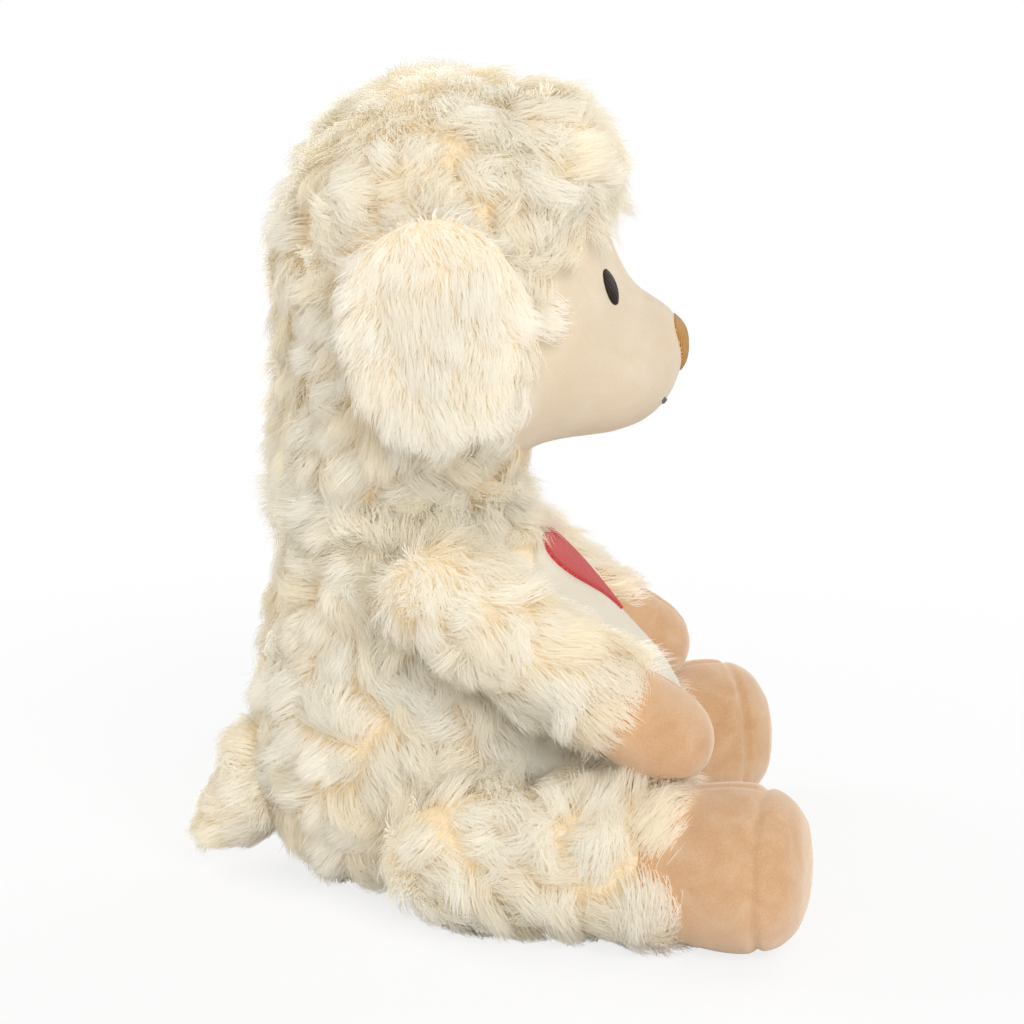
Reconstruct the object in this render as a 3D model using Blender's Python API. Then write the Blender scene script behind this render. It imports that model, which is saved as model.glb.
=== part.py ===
# A sitting plush sheep. Metres, +Z up. It faces -Y and rests on z = 0, with the origin under its middle.
# Every stuffed part starts as one fabric form. Its cover is that form grown by the pile less the form
# itself, its stuffing is the form drawn in a little, and the larger parts cut the smaller ones.
import math

import bmesh
import bpy
from mathutils import Matrix, Vector

# Cloth and running gaps
fur_pile = 0.0080  # long curly pile with its backing
short_pile = 0.0020  # smooth pile with its backing
seam_gap = 0.0003
joint_gap = 0.0006
stuffing_ease = 0.0008
overrun = 0.0300
floor_cut = 0.0005
stitch_height = 0.0012
tuft_pitch = 0.0230  # from one tuft of the fleece to the next
tuft_depth = 0.0026  # how far the pile dips between them
tuft_low = 0.0120  # below this height the pile is pressed smooth

# Torso
torso_width = 0.0840
torso_depth = 0.1230
torso_height = 0.1215
torso_axis_y = 0.0080
torso_shares = (
    # height, half width, reach to the front, reach to the back
    (0.000, 0.00, -0.033, 0.033),
    (0.012, 0.60, 0.244, 0.309),
    (0.062, 0.90, 0.390, 0.423),
    (0.144, 0.98, 0.472, 0.480),
    (0.267, 1.00, 0.504, 0.496),
    (0.432, 0.95, 0.478, 0.488),
    (0.621, 0.83, 0.325, 0.455),
    (0.778, 0.74, 0.188, 0.431),
    (0.844, 0.68, 0.125, 0.415),
    (0.909, 0.57, 0.024, 0.366),
    (0.967, 0.35, -0.057, 0.285),
    (1.000, 0.00, -0.171, 0.171),
)

# Neck: a ball that the head nods on, and the gathered seam that it turns on
neck_y = 0.0290
neck_sink = 0.0330  # the ball's centre, below the top of the torso's fabric
neck_ball_radius = 0.0380
neck_hole_radius = 0.0160
shoulder_drop = 0.0260  # from the top of the ball down to the shoulders
seam_radius = 0.0350
seam_thickness = 0.0030
seam_lift = 0.0200  # from the ball's centre up to the seam

# Bib and heart
bib_width = 0.0620
bib_height = 0.1000
bib_overlap = 0.0050  # its oval rises above the shoulders, which clip it
bib_square_share = 2.4
bib_top_drop = 0.0020  # below the shoulders
heart_width = 0.0270
heart_height = 0.0240
heart_top_drop = 0.0010  # below the bib's top

# Seat
pouch_width = 0.0560
pouch_depth = 0.0700
pouch_height = 0.0220
pouch_ease = 0.0005  # above the seat's fabric

# Head
head_width = 0.0900
head_depth = 0.0930
head_height = 0.1285
head_axis_y = 0.0140
head_shares = (
    (0.000, 0.00, -0.161, 0.161),
    (0.016, 0.55, 0.108, 0.430),
    (0.070, 0.69, 0.172, 0.495),
    (0.171, 0.76, 0.194, 0.505),
    (0.241, 0.87, 0.323, 0.505),
    (0.327, 0.955, 0.419, 0.495),
    (0.451, 1.00, 0.473, 0.495),
    (0.576, 1.00, 0.495, 0.495),
    (0.700, 0.965, 0.473, 0.484),
    (0.809, 0.865, 0.409, 0.430),
    (0.903, 0.68, 0.290, 0.323),
    (0.973, 0.38, 0.140, 0.172),
    (1.000, 0.00, -0.010, 0.010),
)
face_width = 0.0760
face_height = 0.0740
face_centre_share = 0.455
face_depth = 0.0500

muzzle_width = 0.0600
muzzle_height = 0.0480
muzzle_length = 0.0600
muzzle_reach = 0.0550  # its tip, ahead of the origin
muzzle_rise = 0.0507  # its middle, above the foot of the head
muzzle_shares = (
    # along from the root to the tip, half width, below, above
    (0.00, 0.00, 0.00, 0.00),
    (0.10, 0.80, 0.40, 0.40),
    (0.35, 1.00, 0.50, 0.50),
    (0.60, 0.93, 0.50, 0.46),
    (0.80, 0.74, 0.42, 0.38),
    (0.93, 0.47, 0.26, 0.28),
    (1.00, 0.00, -0.06, 0.06),
)
nose_width = 0.0190
nose_height = 0.0165
nose_rise = 0.0030  # above the muzzle's middle
nose_square_share = 2.3
nose_foot_share = 0.45  # its width at the foot
eye_width = 0.0060
eye_height = 0.0105
eye_spacing = 0.0420
eye_rise = 0.0240  # above the muzzle's middle
eye_slant = math.radians(18)
mouth_width = 0.0150
mouth_line = 0.0012
mouth_drop = 0.0120  # below the muzzle's middle
mouth_curve_share = 2  # how far its ends rise, in widths of its line

forelock_width = 0.0780
forelock_depth = 0.0600
forelock_height = 0.0560
forelock_y = -0.0070
forelock_rise = 0.1062

# Ears hang from a seam at their top, on the side of the head
ear_width = 0.0600
ear_thickness = 0.0200
ear_length = 0.0670
ear_x = 0.0540
ear_y = 0.0170
ear_rise = 0.0927
ear_lining = 0.0020
ear_lining_share = 0.86
ear_shares = (
    # along from the top, half width, half thickness on each side
    (0.00, 0.00, 0.00, 0.00),
    (0.06, 0.55, 0.25, 0.25),
    (0.18, 0.85, 0.40, 0.40),
    (0.35, 1.00, 0.50, 0.50),
    (0.60, 1.00, 0.50, 0.50),
    (0.80, 0.85, 0.47, 0.47),
    (0.93, 0.55, 0.35, 0.35),
    (1.00, 0.00, 0.00, 0.00),
)

# Arms turn on the shoulder, and the fur sleeve ends at the wrist
arm_diameter = 0.0240
arm_length = 0.1005
arm_clearance = 0.0055  # from the torso's fabric to the flat inner side of the arm, at its widest
arm_overlap = 0.0075  # from that side to the middle of the arm
arm_foot_share = 0.30  # height on the torso at which that clearance is taken
shoulder_y = 0.0160
shoulder_lift = 0.0040  # above the middle of the neck ball
arm_slope = math.radians(33)
arm_lean = math.radians(5)  # its top leans in against the chest
sleeve_share = 0.68
arm_shares = (
    (0.00, 0.00, 0.00, 0.00),
    (0.05, 0.81, 0.405, 0.405),
    (0.12, 1.00, 0.50, 0.50),
    (0.30, 1.05, 0.52, 0.52),
    (0.50, 1.00, 0.50, 0.50),
    (0.64, 0.93, 0.46, 0.46),
    (0.80, 1.05, 0.52, 0.52),
    (0.91, 0.95, 0.48, 0.48),
    (0.975, 0.62, 0.31, 0.31),
    (1.00, 0.00, 0.00, 0.00),
)

# Legs point forwards and outwards, with a sewn sole on the end
leg_diameter = 0.0450
leg_length = 0.1210
sole_x = 0.0705
sole_y = -0.0865
leg_splay = math.radians(13)
thigh_share = 0.69
sole_share = 0.965
leg_crease_x = 0.0450
leg_crease_y = 0.0360
leg_shares = (
    (0.00, 0.00, 0.00, 0.00),
    (0.06, 0.52, 0.26, 0.26),
    (0.14, 0.76, 0.38, 0.38),
    (0.25, 0.84, 0.42, 0.42),
    (0.45, 0.84, 0.42, 0.42),
    (0.62, 0.82, 0.41, 0.41),
    (0.70, 0.88, 0.44, 0.44),
    (0.77, 0.96, 0.48, 0.48),
    (0.86, 1.00, 0.50, 0.50),
    (0.94, 0.98, 0.49, 0.49),
    (0.98, 0.88, 0.44, 0.44),
    (0.996, 0.62, 0.31, 0.31),
    (1.00, 0.00, 0.00, 0.00),
)

# Tail
tail_width = 0.0340
tail_thickness = 0.0300
tail_length = 0.0500
tail_reach = 0.0245  # behind the torso's fabric
tail_tip_z = 0.0080
tail_slope = math.radians(38)
tail_crease_reach = 0.0050  # behind the torso's fabric
tail_crease_z = 0.0430
tail_shares = (
    (0.00, 0.00, 0.00, 0.00),
    (0.10, 0.80, 0.40, 0.40),
    (0.35, 1.00, 0.50, 0.50),
    (0.65, 0.85, 0.42, 0.42),
    (0.88, 0.50, 0.26, 0.26),
    (1.00, 0.00, 0.00, 0.00),
)

# Colours, linear: curly fur, smooth pile, hands and feet, embroidery, stuffing
fur_colour = (0.83, 0.76, 0.65)
smooth_colour = (0.78, 0.67, 0.52)
tan_colour = (0.70, 0.46, 0.27)
red_colour = (0.66, 0.08, 0.09)
nose_colour = (0.60, 0.30, 0.09)
dark_colour = (0.035, 0.025, 0.020)
grey_colour = (0.20, 0.19, 0.18)
stuffing_colour = (0.88, 0.88, 0.86)
pouch_colour = (0.72, 0.72, 0.70)


def emptied_scene():
    """Removes what is in the scene and makes the two collections."""
    for old in list(bpy.data.objects):
        bpy.data.objects.remove(old)
    made = []
    for name in ("plush_sheep", "cutters"):
        collection = bpy.data.collections.new(name)
        bpy.context.scene.collection.children.link(collection)
        made.append(collection)
    return made


parts, cutters = emptied_scene()


def section(along, rows):
    """The sizes in a table of shares at one place along it, read smoothly between its rows."""
    angles = [math.acos(1 - 2 * row[0]) for row in rows]
    angle = math.acos(max(-1, min(1, 1 - 2 * along)))
    after = next((i for i, a in enumerate(angles) if a >= angle), len(rows) - 1)
    after = max(after, 1)
    before = after - 1
    t = (angle - angles[before]) / (angles[after] - angles[before])
    t = max(0, min(1, t))
    found = []
    for column in range(1, len(rows[0])):
        first, last = rows[before][column], rows[after][column]
        run = angles[after] - angles[before]
        slopes = []
        for i in (before, after):
            low, high = max(i - 1, 0), min(i + 1, len(rows) - 1)
            slopes.append((rows[high][column] - rows[low][column]) / (angles[high] - angles[low]))
        if before == 0:
            slopes[0] = (last - first) / run
        if after == len(rows) - 1:
            slopes[1] = (last - first) / run
        found.append(
            (2 * t**3 - 3 * t**2 + 1) * first
            + (t**3 - 2 * t**2 + t) * run * slopes[0]
            + (3 * t**2 - 2 * t**3) * last
            + (t**3 - t**2) * run * slopes[1]
        )
    return found


def swelling(length, width, depth, rows, place, sides, rings):
    """A closed form that swells and tapers along its own Z, made from a sphere and put in its place."""
    form = bmesh.new()
    bmesh.ops.create_uvsphere(form, u_segments=sides, v_segments=rings, radius=1)
    for vert in form.verts:
        along = (1 + vert.co.z) / 2
        wide, front, back = section(along, rows)
        round_off = math.hypot(vert.co.x, vert.co.y)
        across, fore = 0.0, 0.0
        if round_off > 0.001:
            across, fore = vert.co.x / round_off, vert.co.y / round_off
        vert.co.x = across * wide * width / 2
        vert.co.y = depth * ((back - front) / 2 + fore * (back + front) / 2)
        vert.co.z = along * length
    form.transform(place)
    if place.determinant() < 0:
        bmesh.ops.reverse_faces(form, faces=form.faces)
    form.normal_update()
    return form


def ball(radius, place, sides, rings, shape=(1, 1, 1)):
    """A closed ball or ellipsoid."""
    form = bmesh.new()
    bmesh.ops.create_uvsphere(form, u_segments=sides, v_segments=rings, radius=radius)
    bmesh.ops.scale(form, vec=shape, verts=form.verts)
    bmesh.ops.translate(form, vec=place, verts=form.verts)
    return form


def block(low, high):
    """A box between two corners."""
    form = bmesh.new()
    bmesh.ops.create_cube(form, size=1)
    span = [b - a for a, b in zip(low, high)]
    middle = [(a + b) / 2 for a, b in zip(low, high)]
    bmesh.ops.scale(form, vec=span, verts=form.verts)
    bmesh.ops.translate(form, vec=middle, verts=form.verts)
    return form


def post(radius, low, high, y, sides):
    """An upright cylinder on the middle plane, at y."""
    form = bmesh.new()
    bmesh.ops.create_cone(
        form, cap_ends=True, segments=sides, radius1=radius, radius2=radius, depth=high - low
    )
    bmesh.ops.translate(form, vec=(0, y, (low + high) / 2), verts=form.verts)
    return form


def prism(outline, y_front, y_back):
    """An outline of (x, z) points, drawn through from y_front to y_back."""
    form = bmesh.new()
    rim = [form.verts.new((x, y_front, z)) for x, z in outline]
    face = form.faces.new(rim)
    drawn = bmesh.ops.extrude_face_region(form, geom=[face])["geom"]
    far = [g for g in drawn if isinstance(g, bmesh.types.BMVert)]
    bmesh.ops.translate(form, vec=(0, y_back - y_front, 0), verts=far)
    bmesh.ops.recalc_face_normals(form, faces=form.faces)
    return form


def oval(width, height, centre_x, centre_z, count, power=2.0, slant=0.0):
    """Points of an oval, squarer as power grows and turned by slant."""
    points = []
    for i in range(count):
        turn = math.tau * i / count
        c, s = math.cos(turn), math.sin(turn)
        x = math.copysign(abs(c) ** (2 / power), c) * width / 2
        z = math.copysign(abs(s) ** (2 / power), s) * height / 2
        points.append(
            (
                centre_x + x * math.cos(slant) - z * math.sin(slant),
                centre_z + x * math.sin(slant) + z * math.cos(slant),
            )
        )
    return points


def grown(form, distance):
    """A copy of a form whose skin is moved out by distance, or in if it is negative."""
    copy = form.copy()
    copy.normal_update()
    moves = [v.normal * distance * v.calc_shell_factor() for v in copy.verts]
    for vert, move in zip(copy.verts, moves):
        vert.co += move
    return copy


def tufted(form):
    """A copy of a form whose skin dips between the tufts of a fleece."""
    copy = form.copy()
    copy.normal_update()
    turn = math.tau / tuft_pitch
    moves = []
    for vert in copy.verts:
        x, y, z = vert.co * turn
        wave = (math.sin(x + math.sin(z)) + math.sin(y + z) + math.sin(z - y)) / 3
        dip = tuft_depth * (1 - wave) / 2 if vert.co.z > tuft_low else 0
        moves.append(vert.normal * -dip)
    for vert, move in zip(copy.verts, moves):
        vert.co += move
    return copy


def pressed(form, low=None, high=None):
    """A copy of a form pressed flat where it would lie below low or above high."""
    copy = form.copy()
    for vert in copy.verts:
        if low is not None:
            vert.co.z = max(vert.co.z, low)
        if high is not None:
            vert.co.z = min(vert.co.z, high)
    copy.normal_update()
    return copy


def mirrored(form):
    """A copy of a form on the other side of the middle plane."""
    copy = form.copy()
    bmesh.ops.scale(copy, vec=(-1, 1, 1), verts=copy.verts)
    bmesh.ops.reverse_faces(copy, faces=copy.faces)
    copy.normal_update()
    return copy


def sided(form, side):
    """The form itself on the sheep's left, and its mirror image on its right."""
    return form if side > 0 else mirrored(form)


def linked(name, form, collection):
    mesh = bpy.data.meshes.new(name)
    form.to_mesh(mesh)
    thing = bpy.data.objects.new(name, mesh)
    collection.objects.link(thing)
    return thing


def cutter(name, form):
    """A guide that cuts pieces and isn't one."""
    thing = linked(name, form, cutters)
    thing.hide_render = True
    thing.display_type = "WIRE"
    return thing


def cloth(name, colour, roughness):
    material = bpy.data.materials.new(name)
    material.use_nodes = True
    shader = material.node_tree.nodes["Principled BSDF"]
    shader.inputs["Base Color"].default_value = (*colour, 1)
    shader.inputs["Roughness"].default_value = roughness
    shader.inputs["Metallic"].default_value = 0
    return material


def shape_with(piece, tool, operation):
    step = piece.modifiers.new(f"{operation.lower()} {tool.name}", "BOOLEAN")
    step.operation = operation
    step.object = tool


def piece(name, form, colour, carrier=None, cut_by=(), kept_in=(), roughness=0.95):
    """One sub-part: its form, less the cutters in cut_by, kept only inside those in kept_in."""
    thing = linked(name, form, parts)
    thing.data.materials.append(cloth(name, colour, roughness))
    for tool in kept_in:
        shape_with(thing, tool, "INTERSECT")
    for tool in cut_by:
        shape_with(thing, tool, "DIFFERENCE")
    thing.data.shade_smooth()
    if carrier is not None:
        thing.parent = carrier
        thing.matrix_parent_inverse = carrier.matrix_world.inverted()
    return thing


def pivot(name, place, parent=None):
    """An empty on a joint's axis, which carries the pieces that turn there."""
    thing = bpy.data.objects.new(name, None)
    parts.objects.link(thing)
    thing.location = place
    bpy.context.view_layer.update()
    if parent is not None:
        thing.parent = parent
        thing.matrix_parent_inverse = parent.matrix_world.inverted()
        bpy.context.view_layer.update()
    return thing


def aimed(start, direction, up):
    """A frame whose Z runs along direction, with its Y as near up as it can be."""
    z = Vector(direction).normalized()
    x = Vector(up).cross(z).normalized()
    y = z.cross(x)
    frame = Matrix((x, y, z)).transposed().to_4x4()
    return Matrix.Translation(start) @ frame


# Places that follow from the sizes
reach = 2 * torso_depth
torso_base = fur_pile - floor_cut
torso_back = torso_axis_y + max(row[3] for row in torso_shares) * torso_depth
neck_z = torso_base + torso_height - neck_sink
neck_top = neck_z + neck_ball_radius
shoulder_top = neck_top - shoulder_drop
bib_top = shoulder_top - bib_top_drop
bib_centre_z = shoulder_top + bib_overlap - bib_height / 2
seam_base = neck_z + seam_lift
seam_top = seam_base + seam_thickness
head_low = seam_top + seam_gap
head_base = head_low - (head_shares[2][0] * head_height)
face_z = head_base + face_centre_share * head_height
muzzle_z = head_base + muzzle_rise
forelock_z = head_base + forelock_rise
ear_top_z = head_base + ear_rise
shoulder_z = neck_z + shoulder_lift
arm_foot_z = torso_base + arm_foot_share * torso_height
arm_lean_in = (shoulder_z - arm_foot_z) * math.tan(arm_lean)
arm_x = torso_width / 2 + arm_clearance - arm_lean_in + arm_overlap
leg_axis_z = leg_diameter / 2 + short_pile - floor_cut
lap_z = leg_axis_z + leg_diameter / 2 + short_pile + joint_gap  # where the hands rest on the thighs
tail_tip_y = torso_back + tail_reach
tail_crease_y = torso_back + tail_crease_reach

# Fabric forms of the torso and the head
torso_place = Matrix.Translation((0, torso_axis_y, torso_base))
torso_form = swelling(torso_height, torso_width, torso_depth, torso_shares, torso_place, 24, 16)
head_place = Matrix.Translation((0, head_axis_y, head_base))
head_form = swelling(head_height, head_width, head_depth, head_shares, head_place, 24, 16)
head_fleece = swelling(head_height, head_width, head_depth, head_shares, head_place, 32, 20)

# Guides
below_floor = cutter("below_floor", block((-reach, -reach, -reach), (reach, reach, 0)))
torso_skin = cutter("torso_skin", grown(torso_form, 0))
torso_room = cutter("torso_room", grown(torso_form, fur_pile + joint_gap))
head_skin = cutter("head_skin", grown(head_form, 0))
head_room = cutter("head_room", grown(head_form, fur_pile + seam_gap))
face_room = cutter("face_room", grown(head_form, short_pile + seam_gap))
below_head = cutter("below_head", block((-reach, -reach, -reach), (reach, reach, head_low)))
neck_place = (0, neck_y, neck_z)
neck_socket = cutter("neck_socket", ball(neck_ball_radius + joint_gap, neck_place, 32, 20))
neck_ball = cutter("neck_ball", ball(neck_ball_radius, neck_place, 32, 20))
shoulders = cutter("shoulders", block((-reach, -reach, shoulder_top), (reach, reach, reach)))
shape_with(shoulders, neck_ball, "DIFFERENCE")
neck_hole = cutter("neck_hole", post(neck_hole_radius, neck_z, neck_top + overrun, neck_y, 24))


def pouch_form(growth):
    """The pellet bag, a flattened ball that lies in a hollow under the stuffing, on the seat."""
    lift = torso_base + pouch_ease + pouch_height / 2
    shape = (pouch_width / pouch_depth, 1, pouch_height / pouch_depth)
    return grown(ball(pouch_depth / 2, (0, torso_axis_y, lift), 16, 10, shape), growth)


def make_torso():
    middle = torso_axis_y
    front = torso_axis_y - torso_depth
    bib_outline = [
        (x, min(z, bib_top))
        for x, z in oval(bib_width, bib_height, 0, bib_centre_z, 24, bib_square_share)
    ]
    bib = cutter("bib", prism(bib_outline, front, middle))
    bib_room = cutter("bib_room", grown(prism(bib_outline, front, middle), seam_gap))
    piece(
        "body_cover",
        grown(torso_form, fur_pile),
        fur_colour,
        cut_by=(torso_skin, shoulders, bib_room, neck_hole, below_floor),
    )
    piece(
        "chest_bib",
        grown(torso_form, short_pile),
        smooth_colour,
        kept_in=(bib,),
        cut_by=(torso_skin,),
    )
    pouch = cutter("pouch_room", pouch_form(seam_gap))
    coarse = swelling(torso_height, torso_width, torso_depth, torso_shares, torso_place, 16, 12)
    piece("body_stuffing", grown(coarse, -stuffing_ease), stuffing_colour, cut_by=(pouch,))
    piece("pellet_pouch", pouch_form(0), pouch_colour)
    make_heart(front, middle)


def make_heart(front, middle):
    """A plain heart sewn on the chest, following its curve. Its outline is the usual heart curve."""
    rows = []
    count = 28
    for i in range(count):
        t = math.tau * (i + 0.5) / count
        x = 16 * math.sin(t) ** 3
        z = 13 * math.cos(t) - 5 * math.cos(2 * t) - 2 * math.cos(3 * t) - math.cos(4 * t)
        rows.append((x / 32, z / 29))
    top = max(z for x, z in rows)
    high = bib_top - heart_top_drop
    outline = [(x * heart_width, high + (z - top) * heart_height) for x, z in rows]
    under = cutter("under_heart", grown(torso_form, short_pile + seam_gap))
    heart = cutter("heart", prism(outline, front, middle))
    piece(
        "heart_patch",
        grown(torso_form, short_pile + seam_gap + stitch_height),
        red_colour,
        kept_in=(heart,),
        cut_by=(under,),
        roughness=0.6,
    )


def make_neck(nod):
    piece(
        "neck_seam",
        post(seam_radius, seam_base, seam_top, neck_y, 32),
        fur_colour,
        carrier=nod,
        cut_by=(neck_socket,),
    )


def muzzle_form(growth):
    start = Vector((0, -muzzle_reach + muzzle_length, muzzle_z))
    place = aimed(start, (0, -1, 0), (0, 0, 1))
    form = swelling(
        muzzle_length, muzzle_width, muzzle_height, muzzle_shares, place, 24, 16
    )
    return grown(form, growth)


def make_head(turn):
    front = head_axis_y - head_depth
    back = head_axis_y - head_depth / 2 + face_depth
    face_outline = oval(face_width, face_height, 0, face_z, 24, bib_square_share)
    face = cutter("face", prism(face_outline, front, back))
    face_hole = cutter("face_hole", grown(prism(face_outline, front, back), seam_gap))
    lock_shape = (forelock_width / forelock_depth, 1, forelock_height / forelock_depth)
    lock_place = (0, forelock_y, forelock_z)
    lock = ball(forelock_depth / 2, lock_place, 24, 14, lock_shape)
    lock_room = cutter("lock_room", grown(lock, seam_gap))
    piece(
        "head_cover",
        tufted(grown(head_fleece, fur_pile)),
        fur_colour,
        carrier=turn,
        cut_by=(head_skin, below_head, neck_socket, face_hole, lock_room),
    )
    piece(
        "face_panel",
        grown(head_form, short_pile),
        smooth_colour,
        carrier=turn,
        kept_in=(face,),
        cut_by=(head_skin,),
    )
    piece("forelock", tufted(lock), fur_colour, carrier=turn, cut_by=(face_room,))
    coarse = swelling(head_height, head_width, head_depth, head_shares, head_place, 16, 12)
    piece(
        "head_stuffing",
        grown(coarse, -stuffing_ease),
        stuffing_colour,
        carrier=turn,
        cut_by=(below_head, neck_socket),
    )
    piece(
        "muzzle",
        muzzle_form(0),
        smooth_colour,
        carrier=turn,
        cut_by=(face_room, below_head, neck_socket),
    )
    make_features(turn, front)


def make_features(turn, front):
    """Nose, mouth and eyes, all embroidered and so a little proud of the pile they are sewn in."""
    over_muzzle = cutter("over_muzzle", muzzle_form(seam_gap))
    nose_z = muzzle_z + nose_rise
    rounded = oval(nose_width, nose_height, 0, nose_z, 20, nose_square_share)
    low = nose_z - nose_height / 2
    widening = (1 - nose_foot_share) / nose_height
    nose_outline = [(x * (nose_foot_share + widening * (z - low)), z) for x, z in rounded]
    nose = cutter("nose_guide", prism(nose_outline, front, 0))
    piece(
        "nose",
        muzzle_form(seam_gap + stitch_height),
        nose_colour,
        carrier=turn,
        kept_in=(nose,),
        cut_by=(over_muzzle,),
        roughness=0.5,
    )
    mouth_z = muzzle_z - mouth_drop
    lower = []
    for i in range(9):
        along = i / 4 - 1
        rise = mouth_line * mouth_curve_share * along * along
        lower.append((along * mouth_width / 2, mouth_z + rise))
    upper = [(x, z + mouth_line) for x, z in reversed(lower)]
    mouth = cutter("mouth_guide", prism(upper + lower, front, 0))
    piece(
        "mouth_stitch",
        muzzle_form(seam_gap + stitch_height),
        grey_colour,
        carrier=turn,
        kept_in=(mouth,),
        cut_by=(over_muzzle,),
        roughness=0.5,
    )
    for name, side in (("left", 1), ("right", -1)):
        place = (side * eye_spacing / 2, muzzle_z + eye_rise)
        outline = oval(eye_width, eye_height, *place, 16, 2.0, side * eye_slant)
        eye = cutter(f"eye_guide_{name}", prism(outline, front, 0))
        piece(
            f"eye_{name}",
            grown(head_form, short_pile + seam_gap + stitch_height),
            dark_colour,
            carrier=turn,
            kept_in=(eye,),
            cut_by=(face_room, over_muzzle),
            roughness=0.35,
        )


def make_ear(name, side, turn):
    hinge = pivot(f"ear_{name}_hinge", (side * ear_x, ear_y, ear_top_z), turn)
    place = aimed(Vector((ear_x, ear_y, ear_top_z)), (0, 0, -1), (1, 0, 0))
    outer = swelling(ear_length, ear_width, ear_thickness, ear_shares, place, 20, 12)
    small = ear_lining_share
    inner_place = place @ Matrix.Translation((0, 0, ear_length * (1 - small) / 2))
    inner = swelling(
        ear_length * small, ear_width * small, ear_thickness, ear_shares, inner_place, 20, 12
    )
    lining = fur_pile + seam_gap + ear_lining
    beyond = cutter(f"ear_beyond_{name}", grown(head_form, lining))
    under = cutter(f"ear_under_{name}", grown(head_form, lining + seam_gap))
    piece(
        f"ear_lining_{name}",
        sided(inner, side),
        smooth_colour,
        carrier=hinge,
        kept_in=(beyond,),
        cut_by=(head_room,),
    )
    fleece = tufted(outer)
    piece(f"ear_{name}", sided(fleece, side), fur_colour, carrier=hinge, cut_by=(under,))


def make_arm(name, side):
    shoulder = Vector((arm_x, shoulder_y, shoulder_z))
    hinge = pivot(f"arm_{name}_hinge", (side * arm_x, shoulder_y, shoulder_z))
    lean = Matrix.Translation(shoulder) @ Matrix.Rotation(-arm_lean, 4, "Y")
    direction = Vector((0, -math.cos(arm_slope), -math.sin(arm_slope)))
    place = lean @ aimed(-direction * arm_diameter / 2, direction, (0, 0, 1))
    form = swelling(arm_length, arm_diameter, arm_diameter, arm_shares, place, 16, 14)
    coarse = swelling(arm_length, arm_diameter, arm_diameter, arm_shares, place, 10, 10)
    wide = 2 * arm_diameter
    wrist = arm_length * sleeve_share
    far = block((-wide, -wide, wrist), (wide, wide, arm_length + wide))
    near = block((-wide, -wide, -wide), (wide, wide, wrist + seam_gap))
    far.transform(place)
    near.transform(place)
    past_wrist = cutter(f"past_wrist_{name}", sided(far, side))
    to_wrist = cutter(f"to_wrist_{name}", sided(near, side))
    skin = cutter(f"arm_skin_{name}", sided(pressed(form, lap_z + short_pile), side))
    inner = block((-reach, -reach, -reach), (-arm_overlap, reach, reach))
    inner.transform(lean)
    inside = cutter(f"arm_side_{name}", sided(inner, side))
    piece(
        f"sleeve_{name}",
        sided(pressed(tufted(grown(form, fur_pile)), lap_z), side),
        fur_colour,
        carrier=hinge,
        cut_by=(skin, past_wrist, inside, torso_room),
    )
    piece(
        f"hand_{name}",
        sided(pressed(grown(form, short_pile), lap_z), side),
        tan_colour,
        carrier=hinge,
        cut_by=(skin, to_wrist),
    )
    piece(
        f"arm_stuffing_{name}",
        sided(pressed(grown(coarse, -stuffing_ease), lap_z + short_pile + stuffing_ease), side),
        stuffing_colour,
        carrier=hinge,
        cut_by=(inside, torso_room),
    )


def make_leg(name, side):
    hinge = pivot(f"leg_{name}_hinge", (side * leg_crease_x, leg_crease_y, 0))
    direction = Vector((math.sin(leg_splay), -math.cos(leg_splay), 0))
    sole = Vector((sole_x, sole_y, leg_axis_z))
    place = aimed(sole - direction * leg_length, direction, (0, 0, 1))
    form = swelling(leg_length, leg_diameter, leg_diameter, leg_shares, place, 16, 16)
    coarse = swelling(leg_length, leg_diameter, leg_diameter, leg_shares, place, 12, 12)
    wide = 2 * leg_diameter
    ankle = leg_length * thigh_share
    rim = leg_length * sole_share
    guides = {
        "past_ankle": (ankle, leg_length + wide),
        "to_ankle": (-wide, ankle + seam_gap),
        "past_rim": (rim, leg_length + wide),
        "to_rim": (-wide, rim + seam_gap),
    }
    made = {}
    for guide, (low, high) in guides.items():
        form_block = block((-wide, -wide, low), (wide, wide, high))
        form_block.transform(place)
        made[guide] = cutter(f"{guide}_{name}", sided(form_block, side))
    skin = cutter(f"leg_skin_{name}", sided(grown(form, 0), side))
    piece(
        f"thigh_{name}",
        sided(pressed(tufted(grown(form, fur_pile)), high=lap_z - joint_gap), side),
        fur_colour,
        carrier=hinge,
        cut_by=(skin, made["past_ankle"], torso_room, below_floor),
    )
    piece(
        f"foot_{name}",
        sided(grown(form, short_pile), side),
        tan_colour,
        carrier=hinge,
        cut_by=(skin, made["to_ankle"], made["past_rim"], below_floor),
    )
    piece(
        f"sole_{name}",
        sided(grown(form, short_pile), side),
        tan_colour,
        carrier=hinge,
        cut_by=(skin, made["to_rim"], below_floor),
    )
    piece(
        f"leg_stuffing_{name}",
        sided(grown(coarse, -stuffing_ease), side),
        stuffing_colour,
        carrier=hinge,
        cut_by=(torso_room,),
    )


def make_tail():
    hinge = pivot("tail_hinge", (0, tail_crease_y, tail_crease_z))
    direction = Vector((0, math.cos(tail_slope), -math.sin(tail_slope)))
    tip = Vector((0, tail_tip_y, tail_tip_z))
    place = aimed(tip - direction * tail_length, direction, (0, 0, 1))
    form = swelling(tail_length, tail_width, tail_thickness, tail_shares, place, 16, 10)
    piece("tail", tufted(form), fur_colour, carrier=hinge, cut_by=(torso_room, below_floor))


make_torso()
nod_pivot = pivot("head_nod_pivot", neck_place)
turn_pivot = pivot("head_turn_pivot", neck_place, nod_pivot)
make_neck(nod_pivot)
make_head(turn_pivot)
for side_name, side_sign in (("left", 1), ("right", -1)):
    make_ear(side_name, side_sign, turn_pivot)
    make_arm(side_name, side_sign)
    make_leg(side_name, side_sign)
make_tail()
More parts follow.
